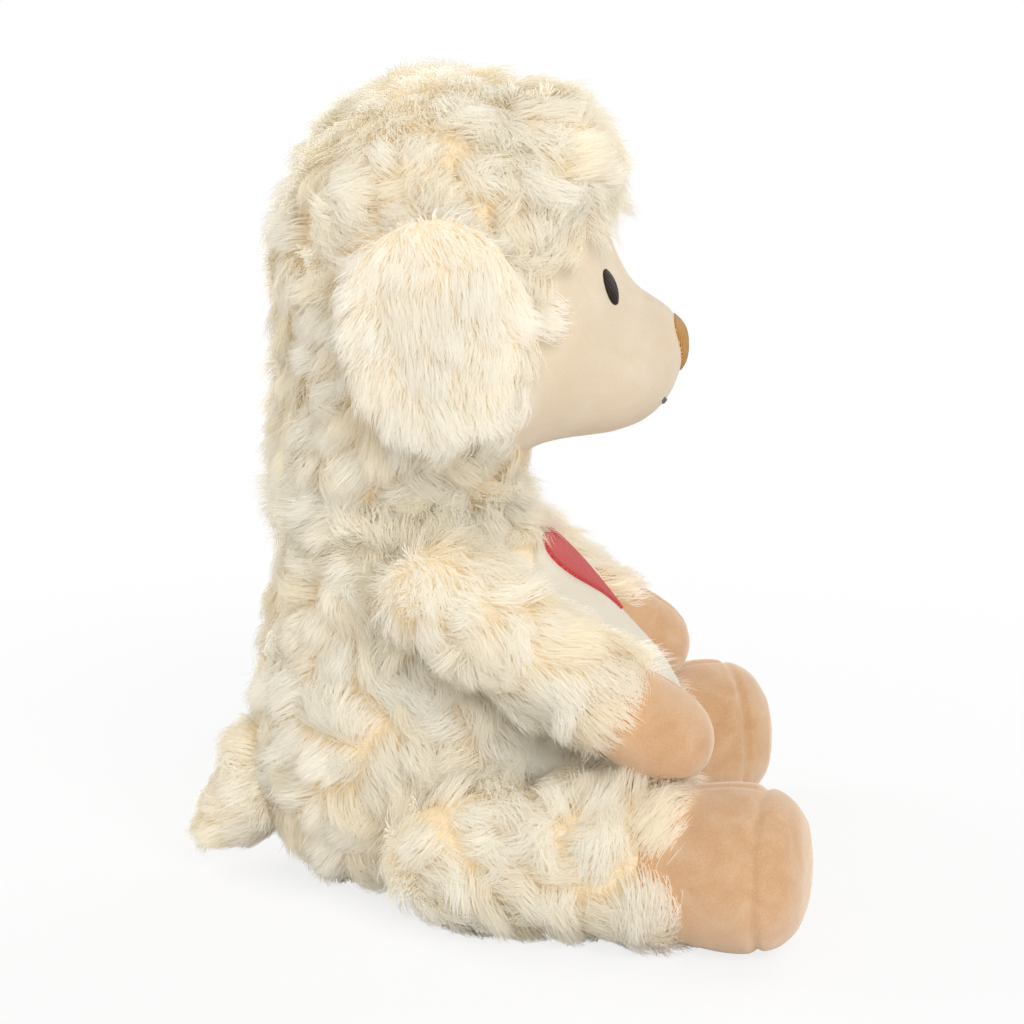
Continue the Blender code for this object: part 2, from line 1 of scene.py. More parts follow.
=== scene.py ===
import math

import bmesh
import bpy
import numpy as np
from mathutils import Matrix, Vector
from mathutils.bvhtree import BVHTree
from mathutils.kdtree import KDTree


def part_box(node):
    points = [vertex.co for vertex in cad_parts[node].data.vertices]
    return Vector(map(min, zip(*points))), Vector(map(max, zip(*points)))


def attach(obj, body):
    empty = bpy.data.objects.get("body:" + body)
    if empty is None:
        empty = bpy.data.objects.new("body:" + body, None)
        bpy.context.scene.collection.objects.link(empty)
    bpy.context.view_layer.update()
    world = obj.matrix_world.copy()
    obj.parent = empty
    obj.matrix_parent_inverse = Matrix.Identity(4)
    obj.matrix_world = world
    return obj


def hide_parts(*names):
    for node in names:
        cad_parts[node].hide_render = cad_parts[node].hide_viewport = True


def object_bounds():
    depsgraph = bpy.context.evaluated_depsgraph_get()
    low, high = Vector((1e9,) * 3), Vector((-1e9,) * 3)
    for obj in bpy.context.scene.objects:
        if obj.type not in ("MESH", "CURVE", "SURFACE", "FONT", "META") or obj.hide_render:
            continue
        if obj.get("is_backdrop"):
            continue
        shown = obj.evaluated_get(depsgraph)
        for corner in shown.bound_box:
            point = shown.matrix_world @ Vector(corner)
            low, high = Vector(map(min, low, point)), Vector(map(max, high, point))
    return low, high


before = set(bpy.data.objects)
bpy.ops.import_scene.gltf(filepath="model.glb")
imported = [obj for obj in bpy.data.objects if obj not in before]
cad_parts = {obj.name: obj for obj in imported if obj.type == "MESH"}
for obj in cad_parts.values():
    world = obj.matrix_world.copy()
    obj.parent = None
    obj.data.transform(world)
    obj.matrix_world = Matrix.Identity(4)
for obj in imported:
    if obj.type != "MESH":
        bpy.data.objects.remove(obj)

cadBox = [list(corner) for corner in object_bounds()]
scene = bpy.context.scene
print("frame loaded")

# Meshes as arrays of points


def rowsOf(source, title, width=3, kind=np.float32):
    found = np.empty(len(source) * width, kind)
    source.foreach_get(title, found)
    return found.reshape(-1, width)


def pointsOf(mesh):
    return rowsOf(mesh.vertices, "co").astype(float)


def normalsOf(mesh):
    return rowsOf(mesh.vertex_normals, "vector").astype(float)


def filled(source, title, values, kind=np.float32):
    source.foreach_set(title, values.astype(kind).ravel())


def putPoints(mesh, points):
    filled(mesh.vertices, "co", points)
    mesh.update()


def reshaped(thing, change):
    putPoints(thing.data, change(pointsOf(thing.data)))


def lifted(points, floor):
    points[:, 2] = np.maximum(points[:, 2], floor)
    return points


def unit(rows):
    return rows / np.maximum(np.linalg.norm(rows, axis=-1, keepdims=True), 1e-9)


def placed(points, place):
    turn = np.array(place.to_3x3())
    return points @ turn.T + np.array(place.translation)


def linked(name, data):
    thing = bpy.data.objects.new(name, data)
    scene.collection.objects.link(thing)
    return thing


def linkForm(name, form):
    mesh = bpy.data.meshes.new(name)
    form.to_mesh(mesh)
    form.free()
    mesh.shade_smooth()
    return linked(name, mesh)


def applied(thing):
    graph = bpy.context.evaluated_depsgraph_get()
    mesh = bpy.data.meshes.new_from_object(thing.evaluated_get(graph))
    thing.modifiers.clear()
    thing.data = mesh
    mesh.shade_smooth()
    return thing


def modified(thing, kind, **settings):
    step = thing.modifiers.new("step", kind)
    for title, value in settings.items():
        setattr(step, title, value)
    return applied(thing)


def subdivided(thing, levels):
    return modified(thing, "SUBSURF", levels=levels, render_levels=levels)


def treeOf(thing):
    form = bmesh.new()
    form.from_mesh(thing.data)
    tree = BVHTree.FromBMesh(form)
    form.free()
    return tree


def heights(points, tree):
    # signed distance of each point outside a closed form, with the nearest place and its normal
    near = np.empty_like(points)
    out = np.empty_like(points)
    for i, point in enumerate(points):
        near[i], out[i] = tree.find_nearest(point)[:2]
    return np.einsum("ij,ij->i", points - near, out), near, out


def keptClear(points, tree, distance):
    high, near, out = heights(points, tree)
    low = high < distance
    points = points.copy()
    points[low] = near[low] + out[low] * distance
    return points


def relaxed(mesh, points, weight, rounds):
    a, b = rowsOf(mesh.edges, "vertices", 2, np.int32).T
    count = np.bincount(np.concatenate((a, b)), minlength=len(points))[:, None]
    for _ in range(rounds):
        total = np.zeros_like(points)
        np.add.at(total, a, points[b])
        np.add.at(total, b, points[a])
        points = points + (total / np.maximum(count, 1) - points) * weight[:, None] * 0.5
    return points


# Sewn forms: a sphere drawn out along its own Z by a table of shares


def sectionOf(along, rows):
    table = np.array(rows, float)
    knots = np.arccos(1 - 2 * table[:, 0])
    values = table[:, 1:]
    last = len(knots) - 1
    row = np.arange(last + 1)
    before, after = np.maximum(row - 1, 0), np.minimum(row + 1, last)
    slopes = (values[after] - values[before]) / (knots[after] - knots[before])[:, None]
    angle = np.arccos(np.clip(1 - 2 * along, -1, 1))
    after = np.clip(np.searchsorted(knots, angle), 1, last)
    before = after - 1
    run = (knots[after] - knots[before])[:, None]
    t = np.clip((angle - knots[before])[:, None] / run, 0, 1)
    return (
        (2 * t**3 - 3 * t**2 + 1) * values[before]
        + (t**3 - 2 * t**2 + t) * run * slopes[before]
        + (3 * t**2 - 2 * t**3) * values[after]
        + (t**3 - t**2) * run * slopes[after]
    )


def aimed(start, direction, up):
    z = Vector(direction).normalized()
    x = Vector(up).cross(z).normalized()
    y = z.cross(x)
    return Matrix.Translation(start) @ Matrix((x, y, z)).transposed().to_4x4()


def swelling(name, look, place, growth=0.0):
    form = bmesh.new()
    bmesh.ops.create_uvsphere(form, u_segments=48, v_segments=40, radius=1)
    thing = linkForm(name, form)
    ball = pointsOf(thing.data)
    along = (1 + ball[:, 2]) / 2
    wide, front, back = sectionOf(along, look["shares"]).T
    off = np.hypot(ball[:, 0], ball[:, 1]) > 0.001
    across, fore = (unit(ball * (1, 1, 0)) * off[:, None])[:, :2].T
    local = np.stack(
        (
            across * wide * look["width"] / 2,
            look["depth"] * ((back - front) / 2 + fore * (back + front) / 2),
            along * look["length"],
        ),
        axis=1,
    )
    putPoints(thing.data, placed(local, place))
    if growth:
        reshaped(thing, lambda points: points + normalsOf(thing.data) * growth)
    return thing


def ellipsoid(name, centre, radii):
    form = bmesh.new()
    bmesh.ops.create_uvsphere(form, u_segments=40, v_segments=24, radius=1)
    bmesh.ops.scale(form, vec=radii, verts=form.verts)
    bmesh.ops.translate(form, vec=centre, verts=form.verts)
    return linkForm(name, form)


def sided(thing, side):
    if side < 0:
        reshaped(thing, lambda points: points * (-1, 1, 1))
        thing.data.flip_normals()


def cutOff(thing, place, height, upper):
    # keeps the upper or the lower side of a height of a frame, and closes the cut
    form = bmesh.new()
    form.from_mesh(thing.data)
    bmesh.ops.bisect_plane(
        form,
        geom=form.verts[:] + form.edges[:] + form.faces[:],
        plane_co=place @ Vector((0, 0, height)),
        plane_no=place.to_3x3() @ Vector((0, 0, 1)),
        clear_inner=upper,
        clear_outer=not upper,
    )
    bmesh.ops.edgeloop_fill(form, edges=[edge for edge in form.edges if edge.is_boundary])
    form.to_mesh(thing.data)
    form.free()
    thing.data.shade_smooth()


clothLook = {
    "quality": 6, "mass": 0.2, "tension_stiffness": 15, "compression_stiffness": 15,
    "bending_stiffness": 0.5, "use_pressure": True, "uniform_pressure_force": 4.0,
    "vertex_group_mass": "held",
}
clothFrames = 20


def stuffed(thing, voxel, cap, pinned=None, settings=clothLook):
    # cloth blown up from inside by at most the cap, and held where it is pinned
    modified(thing, "REMESH", mode="VOXEL", voxel_size=voxel)
    before = pointsOf(thing.data)
    held = thing.vertex_groups.new(name="held")
    if pinned is not None:
        for i in np.nonzero(pinned(before))[0]:
            held.add([int(i)], 1.0, "REPLACE")
    step = thing.modifiers.new("cloth", "CLOTH")
    for title, value in settings.items():
        setattr(step.settings, title, value)
    step.settings.effector_weights.gravity = 0
    step.point_cache.frame_start = 1
    step.point_cache.frame_end = clothFrames
    for number in range(1, clothFrames + 1):
        scene.frame_set(number)
    applied(thing)
    scene.frame_set(1)
    thing.vertex_groups.clear()
    move = pointsOf(thing.data) - before
    size = np.linalg.norm(move, axis=1, keepdims=True)
    putPoints(thing.data, before + move * np.minimum(1, cap / np.maximum(size, 1e-9)))


def removed(*things):
    for thing in things:
        bpy.data.objects.remove(thing)


# Materials


def feed(tree, node, values):
    # each input named gets a link, a colour or a number
    for title, value in values.items():
        socket = node.inputs[title]
        if isinstance(value, bpy.types.NodeSocket):
            tree.links.new(value, socket)
        elif socket.type == "RGBA":
            socket.default_value = (*value, 1)
        else:
            socket.default_value = value


def nodeOf(tree, kind, values=None):
    node = tree.nodes.new("ShaderNode" + kind)
    feed(tree, node, values or {})
    return node


def newMaterial(name, colour, roughness, sheen=0.0, sheenTint=(1, 1, 1), sheenRoughness=0.5):
    material = bpy.data.materials.new(name)
    material.use_nodes = True
    tree = material.node_tree
    shader = tree.nodes["Principled BSDF"]
    values = {"Base Color": colour, "Roughness": roughness, "Specular IOR Level": 0.2}
    values |= {"Sheen Weight": sheen, "Sheen Tint": sheenTint, "Sheen Roughness": sheenRoughness}
    feed(tree, shader, values)
    return material, tree, shader


def rampOf(tree, source, positions, colours):
    ramp = nodeOf(tree, "ValToRGB", {"Fac": source})
    stops = list(zip(positions, colours))
    elements = ramp.color_ramp.elements
    for element, (position, colour) in zip(elements, (stops[0], stops[-1])):
        element.position = position
        element.color = (*colour, 1)
    for position, colour in stops[1:-1]:
        elements.new(position).color = (*colour, 1)
    return ramp.outputs["Color"]


def roughBy(tree, source, stops, shader):
    positions, values = zip(*stops)
    greys = [(value,) * 3 for value in values]
    feed(tree, shader, {"Roughness": rampOf(tree, source, positions, greys)})


def noiseOf(tree, vector, scale, values):
    return nodeOf(tree, "TexNoise", {"Vector": vector, "Scale": scale} | values).outputs["Fac"]


def mathOf(tree, operation, first, second):
    step = tree.nodes.new("ShaderNodeMath")
    step.operation = operation
    feed(tree, step, {0: first, 1: second})
    return step.outputs[0]


def mixOf(tree, factor, first, second, blend="MIX"):
    mix = tree.nodes.new("ShaderNodeMix")
    mix.data_type = "RGBA"
    mix.blend_type = blend
    feed(tree, mix, {0: factor, 6: first, 7: second})
    return mix.outputs[2]


def mixShaders(tree, factor, first, second, output):
    mix = nodeOf(tree, "MixShader", {0: factor, 1: first, 2: second})
    feed(tree, output, {"Surface": mix.outputs["Shader"]})


def bumpOf(tree, height, distance, strength, shader):
    bump = nodeOf(tree, "Bump", {"Height": height, "Distance": distance, "Strength": strength})
    feed(tree, shader, {"Normal": bump.outputs["Normal"]})


pileWeave = {
    "blotch": {"Detail": 2, "Roughness": 0.5, "Distortion": 0.6},
    "grain": {"Detail": 2, "Roughness": 0.7},
    "stops": (0.3, 0.5, 0.72),  # of the tones: dark, plain and light
    "specks": (0.35, 0.6), "rough": ((0.3, 0.78), (0.7, 0.96)), "blotchRise": 1.2,
    "strength": 0.6,
}


def pileMaterial(name, look):
    # short brushed pile: soft blotches where it is stroked, fine grain, and fibres in its bump
    material, tree, shader = newMaterial(
        name, look["tones"][1], 0.9, look["sheen"], look["sheenTint"], sheenRoughness=0.6
    )
    place = nodeOf(tree, "TexCoord").outputs["Object"]
    blotch = noiseOf(tree, place, look["blotchScale"], pileWeave["blotch"])
    grain = noiseOf(tree, place, look["grainScale"], pileWeave["grain"])
    stroked = rampOf(tree, blotch, pileWeave["stops"], look["tones"])
    speck = rampOf(tree, grain, pileWeave["specks"], (look["speck"], (1, 1, 1)))
    feed(tree, shader, {"Base Color": mixOf(tree, 1.0, stroked, speck, "MULTIPLY")})
    roughBy(tree, grain, pileWeave["rough"], shader)
    rise = mathOf(tree, "MULTIPLY", blotch, pileWeave["blotchRise"])
    height = mathOf(tree, "ADD", rise, grain)
    bumpOf(tree, height, look["bump"], pileWeave["strength"], shader)
    return material


stitchWeave = {
    "wave": {"Distortion": 0.6, "Detail": 2, "Detail Scale": 1.5},
    "stretch": (3, 0.25),  # of the uneven colour, across the threads and along them
    "uneven": {"Detail": 3, "Roughness": 0.6},
    "stops": (0.1, 0.55, 0.95), "rough": ((0.2, 0.62), (0.8, 0.38)), "strength": 0.8,
}


def stitchMaterial(name, look):
    # satin stitch: threads side by side across the patch, which the UV map carries
    material, tree, shader = newMaterial(
        name, look["tones"][1], 0.45, look["sheen"], sheenRoughness=0.4
    )
    place = nodeOf(tree, "TexCoord").outputs["UV"]
    scale = look["threadScale"]
    wave = nodeOf(tree, "TexWave", {"Vector": place, "Scale": scale} | stitchWeave["wave"])
    wave.bands_direction = "X"
    across, along = stitchWeave["stretch"]
    values = {"Vector": place, "Scale": (scale * across, scale * along, 1)}
    stretched = nodeOf(tree, "Mapping", values).outputs["Vector"]
    uneven = noiseOf(tree, stretched, 1.0, stitchWeave["uneven"])
    total = mathOf(tree, "ADD", wave.outputs["Fac"], uneven)
    shade = mathOf(tree, "MULTIPLY", total, 0.5)
    feed(tree, shader, {"Base Color": rampOf(tree, shade, stitchWeave["stops"], look["tones"])})
    roughBy(tree, shade, stitchWeave["rough"], shader)
    bumpOf(tree, wave.outputs["Fac"], look["bump"], stitchWeave["strength"], shader)
    return material


def furMaterial(name, look):
    # colour runs from warmer roots, where the warm shade deep in the coat is painted in, to the
    # pale tips, and differs from tuft to tuft
    material, tree, shader = newMaterial(
        name, look["tip"], 0.85, look["sheen"], look["sheenTint"], sheenRoughness=0.5
    )
    layers = {}
    for title in ("along", "tuft"):
        layer = nodeOf(tree, "Attribute")
        layer.attribute_name = title
        layers[title] = layer.outputs["Fac"]
    tones = (look["tipWarm"], look["tip"], look["tipPale"])
    tips = rampOf(tree, layers["tuft"], (0.0, 0.5, 1.0), tones)
    # painted shade: the strands are coloured warmer and darker towards their roots, where the coat
    # shades itself
    rise = rampOf(tree, layers["along"], look["rise"], ((0, 0, 0), (1, 1, 1)))
    colour = mixOf(tree, rise, look["root"], tips)
    feed(tree, shader, {"Base Color": colour})
    roughBy(tree, layers["along"], look["rough"], shader)
    # light also passes through the strands
    through = nodeOf(tree, "BsdfTranslucent", {"Color": colour}).outputs["BSDF"]
    output = tree.nodes["Material Output"]
    mixShaders(tree, look["through"], shader.outputs["BSDF"], through, output)
    return material


furLook = {
    # the root colour is painted warm shade deep in the coat
    "root": (1.0, 0.91, 0.735), "tip": (1.0, 0.977, 0.912), "tipWarm": (1.0, 0.961, 0.862),
    "tipPale": (1.0, 0.984, 0.934),
    "rise": (0.0, 0.38),  # where the painted warm root shade ends and the tip's colour starts
    "rough": ((0.0, 0.95), (1.0, 0.7)), "sheen": 0.1, "sheenTint": (1.0, 0.97, 0.92),
    "through": 0.65,
}
backingLook = {
    "tones": ((0.93, 0.76, 0.52), (0.96, 0.83, 0.62), (0.97, 0.88, 0.72)),
    "speck": (0.94, 0.91, 0.87), "blotchScale": 120, "grainScale": 1400, "bump": 0.0006,
    "sheen": 0.2, "sheenTint": (1, 0.95, 0.88),
}
smoothLook = {
    "tones": ((0.73, 0.595, 0.43), (0.75, 0.63, 0.47), (0.78, 0.67, 0.525)),
    "speck": (0.93, 0.91, 0.88), "blotchScale": 70, "grainScale": 2600, "bump": 0.00022,
    "sheen": 0.35, "sheenTint": (1, 0.96, 0.9),
}
bibLook = {
    "tones": ((0.75, 0.685, 0.56), (0.78, 0.725, 0.61), (0.82, 0.77, 0.665)),
}
tanLook = {
    "tones": ((0.64, 0.365, 0.182), (0.68, 0.41, 0.218), (0.715, 0.465, 0.272)),
    "speck": (0.88, 0.83, 0.78), "blotchScale": 120, "grainScale": 2200, "bump": 0.0003,
    "sheen": 0.8, "sheenTint": (1, 0.93, 0.82),
}
redLook = {
    "tones": ((0.44, 0.03, 0.032), (0.64, 0.065, 0.062), (0.78, 0.15, 0.13)),
    "threadScale": 7.0, "bump": 0.00025, "sheen": 0.1,
}
noseLook = {
    "tones": ((0.36, 0.14, 0.02), (0.66, 0.31, 0.065), (0.86, 0.55, 0.2)),
    "threadScale": 5.0, "bump": 0.0006, "sheen": 0.1,
}
eyeLook = {
    "tones": ((0.008, 0.005, 0.004), (0.018, 0.01, 0.007), (0.045, 0.026, 0.018)),
    "threadScale": 5.0, "bump": 0.0002, "sheen": 0.05,
}
greyLook = {
    "tones": ((0.07, 0.065, 0.06), (0.13, 0.12, 0.115), (0.22, 0.21, 0.2)),
    "threadScale": 9.0, "bump": 0.00015, "sheen": 0.1,
}
furMade = furMaterial("curly_fur", furLook)
backingMade = pileMaterial("fur_backing", backingLook)
smoothMade = pileMaterial("smooth_pile", smoothLook)
bibMade = pileMaterial("bib_pile", smoothLook | bibLook)
tanMade = pileMaterial("tan_pile", tanLook)
redMade = stitchMaterial("red_stitch", redLook)
noseMade = stitchMaterial("nose_stitch", noseLook)
eyeMade = stitchMaterial("eye_stitch", eyeLook)
greyMade = stitchMaterial("grey_thread", greyLook)
print("materials made")


# Camera, light and floor


def aimedAt(thing, place, target):
    thing.location = place
    thing.rotation_mode = "QUATERNION"
    thing.rotation_quaternion = (Vector(target) - Vector(place)).to_track_quat("-Z", "Y")


cameraLook = {"target": (0, -0.004, 0.1126), "distance": 0.8, "elevation": 12, "lens": 93.75}
raised = math.radians(cameraLook["elevation"])
cameraData = bpy.data.cameras.new("camera")
cameraData.lens = cameraLook["lens"]
cameraData.clip_start = 0.01
camera = linked("camera", cameraData)
away = Vector((-math.cos(raised), 0, math.sin(raised))) * cameraLook["distance"]
aimedAt(camera, Vector(cameraLook["target"]) + away, cameraLook["target"])
scene.camera = camera
scene.view_settings.view_transform = "Standard"

lightLook = {"world": 0.415, "backdrop": 1.0, "target": (0, 0, 0.11)}
lampLook = {
    # place, size, watts
    "key": ((-1.3, -0.45, 0.85), 1.0, 14.0),
    "fill": ((0.9, -0.9, 0.9), 1.0, 6.0),
    "back": ((0.4, 1.2, 1.0), 1.0, 7.7),
}
world = bpy.data.worlds.new("studio")
scene.world = world
world.use_nodes = True
tree = world.node_tree
tree.nodes.clear()
shades = []
for title in ("world", "backdrop"):
    shade = nodeOf(tree, "Background", {"Color": (1, 1, 1), "Strength": lightLook[title]})
    shades.append(shade.outputs["Background"])
rays = nodeOf(tree, "LightPath").outputs
bent = mathOf(tree, "MAXIMUM", rays["Is Glossy Ray"], rays["Is Transmission Ray"])
seen = mathOf(tree, "MAXIMUM", rays["Is Camera Ray"], bent)
mixShaders(tree, seen, *shades, nodeOf(tree, "OutputWorld"))

for name, (place, size, power) in lampLook.items():
    lamp = bpy.data.lights.new(name, "AREA")
    lamp.shape = "DISK"
    lamp.size = size
    lamp.energy = power
    aimedAt(linked(name, lamp), place, lightLook["target"])

# the floor shows the object's shadow near it and is plain white further out
floorLook = {"size": 60, "colour": (0.93, 0.93, 0.93), "near": 0.15, "far": 0.45, "glow": 0.8}
form = bmesh.new()
bmesh.ops.create_grid(form, x_segments=2, y_segments=2, size=floorLook["size"])
floor = linkForm("floor", form)
floorMade, tree, shader = newMaterial("floor", floorLook["colour"], 0.9)
middle = nodeOf(tree, "VectorMath", {0: nodeOf(tree, "TexCoord").outputs["Object"]})
middle.operation = "LENGTH"
values = {"From Min": floorLook["near"], "From Max": floorLook["far"], "To Min": floorLook["glow"]}
fade = nodeOf(tree, "MapRange", {"Value": middle.outputs["Value"]} | values)
seen = nodeOf(tree, "LightPath").outputs["Is Camera Ray"]
seen = mathOf(tree, "MULTIPLY", seen, fade.outputs["Result"])
glow = nodeOf(tree, "Emission", {"Strength": 1.0}).outputs["Emission"]
mixShaders(tree, seen, shader.outputs["BSDF"], glow, tree.nodes["Material Output"])
floor.data.materials.append(floorMade)
floor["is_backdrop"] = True
print("stage made")


# Fur: tapered strands, combed in tufts that each lie over in a way of their own


def scattered(mesh, density, keep, rng):
    mesh.calc_loop_triangles()
    corners = rowsOf(mesh.loop_triangles, "vertices", 3, np.int32)
    points, normals = pointsOf(mesh), normalsOf(mesh)
    a, b, c = (points[corners[:, i]] for i in range(3))
    areas = np.linalg.norm(np.cross(b - a, c - a), axis=1) / 2
    count = int(areas.sum() * density * 1e6)
    chosen = np.searchsorted(np.cumsum(areas) / areas.sum(), rng.random(count))
    chosen = np.minimum(chosen, len(corners) - 1)
    u, v = rng.random(count), rng.random(count)
    over = u + v > 1
    u[over], v[over] = 1 - u[over], 1 - v[over]
    w = 1 - u - v
    shares = list(enumerate((w, u, v)))
    found = [
        sum(rows[corners[chosen, i]] * share[:, None] for i, share in shares)
        for rows in (points, normals)
    ]
    held = keep(*found)
    return found[0][held], unit(found[1][held])


def nearest(points, centres):
    tree = KDTree(len(centres))
    for i, centre in enumerate(centres):
        tree.insert(centre, i)
    tree.balance()
    return np.array([tree.find(point)[1] for point in points], int)


def turned(vectors, axes, angles):
    c, s = np.cos(angles)[:, None], np.sin(angles)[:, None]
    dot = np.einsum("ij,ij->i", vectors, axes)[:, None]
    return vectors * c + np.cross(axes, vectors) * s + axes * dot * (1 - c)


def level(vectors, normals):
    return vectors - normals * np.einsum("ij,ij->i", vectors, normals)[:, None]


def strands(roots, normals, flow, look, rng):
    # centre lines of the strands, the number of each one's tuft and a tone for each tuft
    count = len(roots)
    centres = roots[rng.random(count) < 1 / max(look["density"] * look["tuftArea"], 1)]
    which = nearest(roots + rng.normal(0, look["mingle"], roots.shape), centres)
    toCentre = level(centres[which] - roots, normals)
    off = np.linalg.norm(toCentre, axis=1) / (math.sqrt(look["tuftArea"] / math.pi) * 0.001)
    edge = np.minimum(off, look["edge"])
    swing = rng.normal(0, look["swing"], len(centres))[which]
    curl = rng.normal(0, look["curl"], len(centres))[which]
    grow = rng.uniform(1 - look["uneven"], 1 + look["uneven"], len(centres))[which]
    lean = rng.uniform(*look["lean"], len(centres))[which]
    way = unit(level(flow, normals))
    way = turned(way, normals, swing + rng.normal(0, look["stray"], count))
    length = look["length"] * grow * rng.uniform(*look["lengths"], count)
    length *= 1 - look["edgeShort"] * edge**2
    curl += rng.normal(0, look["curlSpread"], count)
    lean = lean + rng.normal(0, look["leanSpread"], count) + look["edgeLean"] * edge
    steps = look["steps"]
    lines = [roots - normals * look["sunk"]]
    place = lines[0].copy()
    for step in range(1, steps + 1):
        t = (step - 0.5) / steps
        tilt = np.clip(lean * (look["tilt"][0] + look["tilt"][1] * t), 0, look["tiltMost"])
        ahead = turned(way, normals, curl * t)
        direction = ahead * np.sin(tilt)[:, None] + normals * np.cos(tilt)[:, None]
        place = place + direction * (length / steps)[:, None]
        lines.append(place + toCentre * look["gather"] * (step / steps))
    lines = np.stack(lines, axis=1)
    low, spread = look["floor"]
    lines[:, :, 2] = np.maximum(lines[:, :, 2], low + spread * rng.random(count)[:, None])
    return lines, which, rng.random(len(centres))


# the texture has a column for each tone, and runs along the strands in each
sheetLook = {"columns": 64, "edges": (0.2, 0.8), "margin": 0.02}


def furPiece(name, body, base, flowOf, keep, look, seed, clear=None, replaced=()):
    rng = np.random.default_rng(seed)
    roots, normals = scattered(base.data, look["density"], keep, rng)
    lines, which, tones = strands(roots, normals, flowOf(roots, normals), look, rng)
    if clear is not None:
        lines = clear(lines)
    count, ring = lines.shape[:2]
    along = np.linspace(0, 1, ring)
    rolled = unit(normals + rng.normal(0, look["roll"], normals.shape))
    side = unit(np.cross(np.gradient(lines, axis=1), rolled[:, None, :]))
    half = look["width"] / 2 * np.interp(along, *look["taper"])[None, :, None]
    side *= half * rng.uniform(*look["widths"], count)[:, None, None]
    per = 2 * ring - 1
    points = np.empty((count, per, 3))
    points[:, 0:-1:2] = (lines - side)[:, :-1]
    points[:, 1:-1:2] = (lines + side)[:, :-1]
    points[:, -1] = lines[:, -1]
    quads = [[2 * i, 2 * i + 1, 2 * i + 3, 2 * i + 2] for i in range(ring - 2)]
    corners = np.array(sum(quads, []) + [per - 3, per - 2, per - 1])
    loops = (np.arange(count)[:, None] * per + corners).ravel()
    sizes = np.tile([4] * len(quads) + [3], count)
    mesh = bpy.data.meshes.new(name)
    mesh.vertices.add(count * per)
    mesh.loops.add(len(loops))
    mesh.polygons.add(len(sizes))
    filled(mesh.vertices, "co", points)
    filled(mesh.loops, "vertex_index", loops, np.int32)
    filled(mesh.polygons, "loop_start", np.concatenate(([0], np.cumsum(sizes)[:-1])), np.int32)
    mesh.update(calc_edges=True)
    mesh.shade_smooth()
    tone = tones[which] + look["tone"] + rng.normal(0, look["toneSpread"], count)
    tone = np.clip(tone, 0, 0.999)[:, None]
    onStrand = np.tile(np.append(np.repeat(along[:-1], 2), 1), (count, 1))
    for title, values in (("along", onStrand), ("tuft", np.repeat(tone, per, axis=1))):
        filled(mesh.attributes.new(title, "FLOAT", "POINT").data, "value", values)
    columns, margin = sheetLook["columns"], sheetLook["margin"]
    edge = np.append(np.tile(sheetLook["edges"], ring - 1), 0.5)
    across = (np.floor(tone * columns) + edge) / columns
    up = margin + (1 - 2 * margin) * onStrand
    sheet = np.stack((across, up), axis=2).reshape(-1, 2)
    filled(mesh.uv_layers.new(name="OFBake").data, "uv", sheet[loops])
    thing = linked(name, mesh)
    mesh.materials.append(furMade)
    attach(thing, body)
    if replaced:
        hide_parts(*replaced)
    print(name, count, "strands")
    return thing


curlLook = {
    "density": 2.4,  # strands to a square millimetre
    "tuftArea": 62,  # square millimetres
    "length": 0.0146, "width": 0.00029, "swing": 0.8, "curl": 0.8, "uneven": 0.12,
    "lean": (0.95, 1.35),
    "mingle": 0.0013,  # how far the strands of neighbouring tufts mix
    "tone": 0.0, "stray": 0.14,
    "gather": 0.27,  # how far the tips of a tuft are drawn together
    "steps": 3, "lengths": (0.86, 1.08),
    "edge": 1.3,  # a tuft's rim, in radii from its middle
    "edgeShort": 0.1, "edgeLean": 0.16, "curlSpread": 0.12, "leanSpread": 0.06,
    "sunk": 0.0006,  # how deep a strand starts in the cloth
    "tilt": (0.25, 1.15), "tiltMost": 1.75, "floor": (0.0004, 0.0012), "roll": 0.15,
    "taper": ((0, 0.5, 0.85, 1), (0.9, 1, 0.72, 0.1)), "widths": (0.7, 1.3),
    "toneSpread": 0.08,
}


def combed(direction):
    # a flow that lies one way all over
    return lambda points, normals: np.tile(direction, (len(points), 1))


def keptOff(tree, distance):
    # the strands of a limb press into the coat under them, and not through it
    return lambda lines: keptClear(lines.reshape(-1, 3), tree, distance).reshape(lines.shape)


def halfSmooth(thing, smooth):
    thing.data.materials.append(backingMade)
    thing.data.materials.append(smoothMade)
    filled(thing.data.polygons, "material_index", smooth, np.int32)


def coatOf(body, base, flow, keep, axis, split, first, seed, replaced):
    # one piece of fur beyond the split, and one at the left and one at the right before it
    for number, part in enumerate((first, "left", "right")):

        def inPart(points, normals):
            beyond = points[:, axis] > split
            left = points[:, 0] > 0
            return keep(points, normals) & (beyond, ~beyond & left, ~beyond & ~left)[number]

        name = f"{body}_fur_{part}"
        furPiece(name, body, base, flow, inPart, curlLook, seed + number, replaced=(replaced,))


# Sewn patches that lie on a form


def ovalOutline(width, height, count, power=2.0, slant=0.0):
    turns = np.linspace(0, math.tau, count, endpoint=False)
    c, s = np.cos(turns), np.sin(turns)
    x = np.sign(c) * np.abs(c) ** (2 / power) * width / 2
    z = np.sign(s) * np.abs(s) ** (2 / power) * height / 2
    c, s = math.cos(slant), math.sin(slant)
    return np.stack((x * c - z * s, x * s + z * c), axis=1)


def inOval(points, look, part, margin):
    power = look[f"{part}Power"]
    x = np.abs(points[:, 0]) / (look[f"{part}Width"] / 2 - margin)
    z = np.abs(points[:, 2] - look[f"{part}Middle"]) / (look[f"{part}Height"] / 2 - margin)
    return x**power + z**power < 1


patchLook = {"from": 0.2, "threads": 100}


